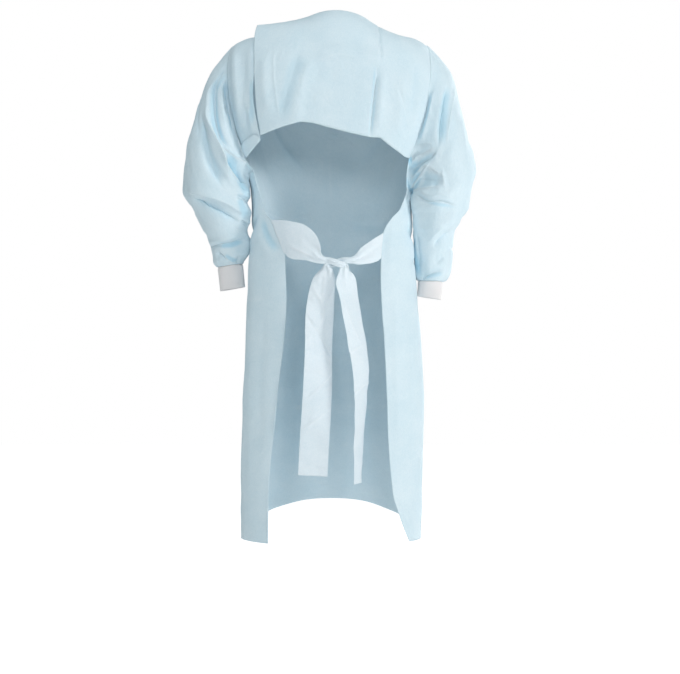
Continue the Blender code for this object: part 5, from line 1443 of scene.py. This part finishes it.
def studio():
    """Level camera behind the gown, pale floor, white surround, and soft lights from the camera's
    side that are brighter on its right."""
    scene = bpy.context.scene
    lens = bpy.data.cameras.new("camera")
    lens.sensor_width = SENSOR
    lens.lens = FOCAL_PX * SENSOR / FRAME_WIDTH_PX
    camera = bpy.data.objects.new("camera", lens)
    camera.matrix_world = (Matrix.Translation(CAMERA_PLACE) @ Matrix.Rotation(math.pi, 4, "Z")
                           @ Matrix.Rotation(math.pi / 2, 4, "X"))
    scene.collection.objects.link(camera)
    scene.camera = camera

    floor_mesh = bpy.data.meshes.new("floor")
    corners = ((-1, -1), (1, -1), (1, 1), (-1, 1))
    floor_mesh.from_pydata([(x * FLOOR_HALF, y * FLOOR_HALF, FLOOR_Z) for x, y in corners], [],
                           [(0, 1, 2, 3)])
    floor_mesh.materials.append(pale_floor())
    floor = bpy.data.objects.new("floor", floor_mesh)
    scene.collection.objects.link(floor)
    floor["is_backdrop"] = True
    scene.world = surround()
    scene.view_settings.view_transform = "Standard"

    for name, place, aim, width, watts, colour in LIGHTS:
        light = bpy.data.lights.new(name, "AREA")
        light.shape = "DISK"
        light.size = width
        light.energy = watts
        light.color = colour
        lamp = bpy.data.objects.new(name, light)
        forward = unit(np.array(aim) - np.array(place))
        side = unit(np.cross(forward, (0.0, 0.0, 1.0)))
        axes = zip(side, np.cross(side, forward), -forward, place)
        lamp.matrix_world = Matrix([*axes, (0, 0, 0, 1)])
        scene.collection.objects.link(lamp)


def dress():
    """Makes every piece, puts it on the root and hides the part of the model that it replaces."""
    group = bonded_fibres_group()
    sky = nonwoven("sky_nonwoven", group, *SKY_FINISH)
    pale = nonwoven("pale_strap", group, *STRAP_FINISH)
    knit = knitted("white_rib_knit", *KNIT_FINISH)

    front = front_body_piece(sky)
    pieces = [
        # piece, node, slot, flat width and length, flat area, held, what it rests on
        (front, "front_body", "sky_cloth", (1.10, 1.22), 0.90, "draped", ()),
        (yoke_piece(sky), "back_yoke", "sky_cloth", (0.44, 0.34), 0.125, "draped", (front,)),
        (back_left_piece(sky), "back_left", "sky_cloth", (0.09, 0.32), 0.022, "hung", (front,)),
    ]
    for side, word in ((LEFT, "left"), (RIGHT, "right")):
        sleeve = sleeve_piece(word + "_sleeve", "sleeve_" + word, side, sky)
        cuff = grid_piece(word + "_cuff", cuff_grid(side), knit, closed=True, thickness=KNIT)
        tie = tie_piece(word + "_tie", "tie_" + word, side, pale)
        pieces += [
            (sleeve, "sleeve_" + word, "sky_cloth", (0.50, 0.56), 0.21, "draped", (front,)),
            (cuff, "cuff_" + word, "white_knit", (0.20, 0.065), None, "stretched", (sleeve,)),
            (tie, "tie_" + word, "pale_tie", (TIE_WIDTH, 0.66), None, "hung", (front,)),
        ]
    for piece, node, slot, flat, area, held, rests_on in pieces:
        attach(piece, "root")
        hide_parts(node)


dress()
studio()
boxes = {"cad": CAD_BOX, "visual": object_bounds()}
boxes = {name: [[float(v) for v in corner] for corner in box] for name, box in boxes.items()}
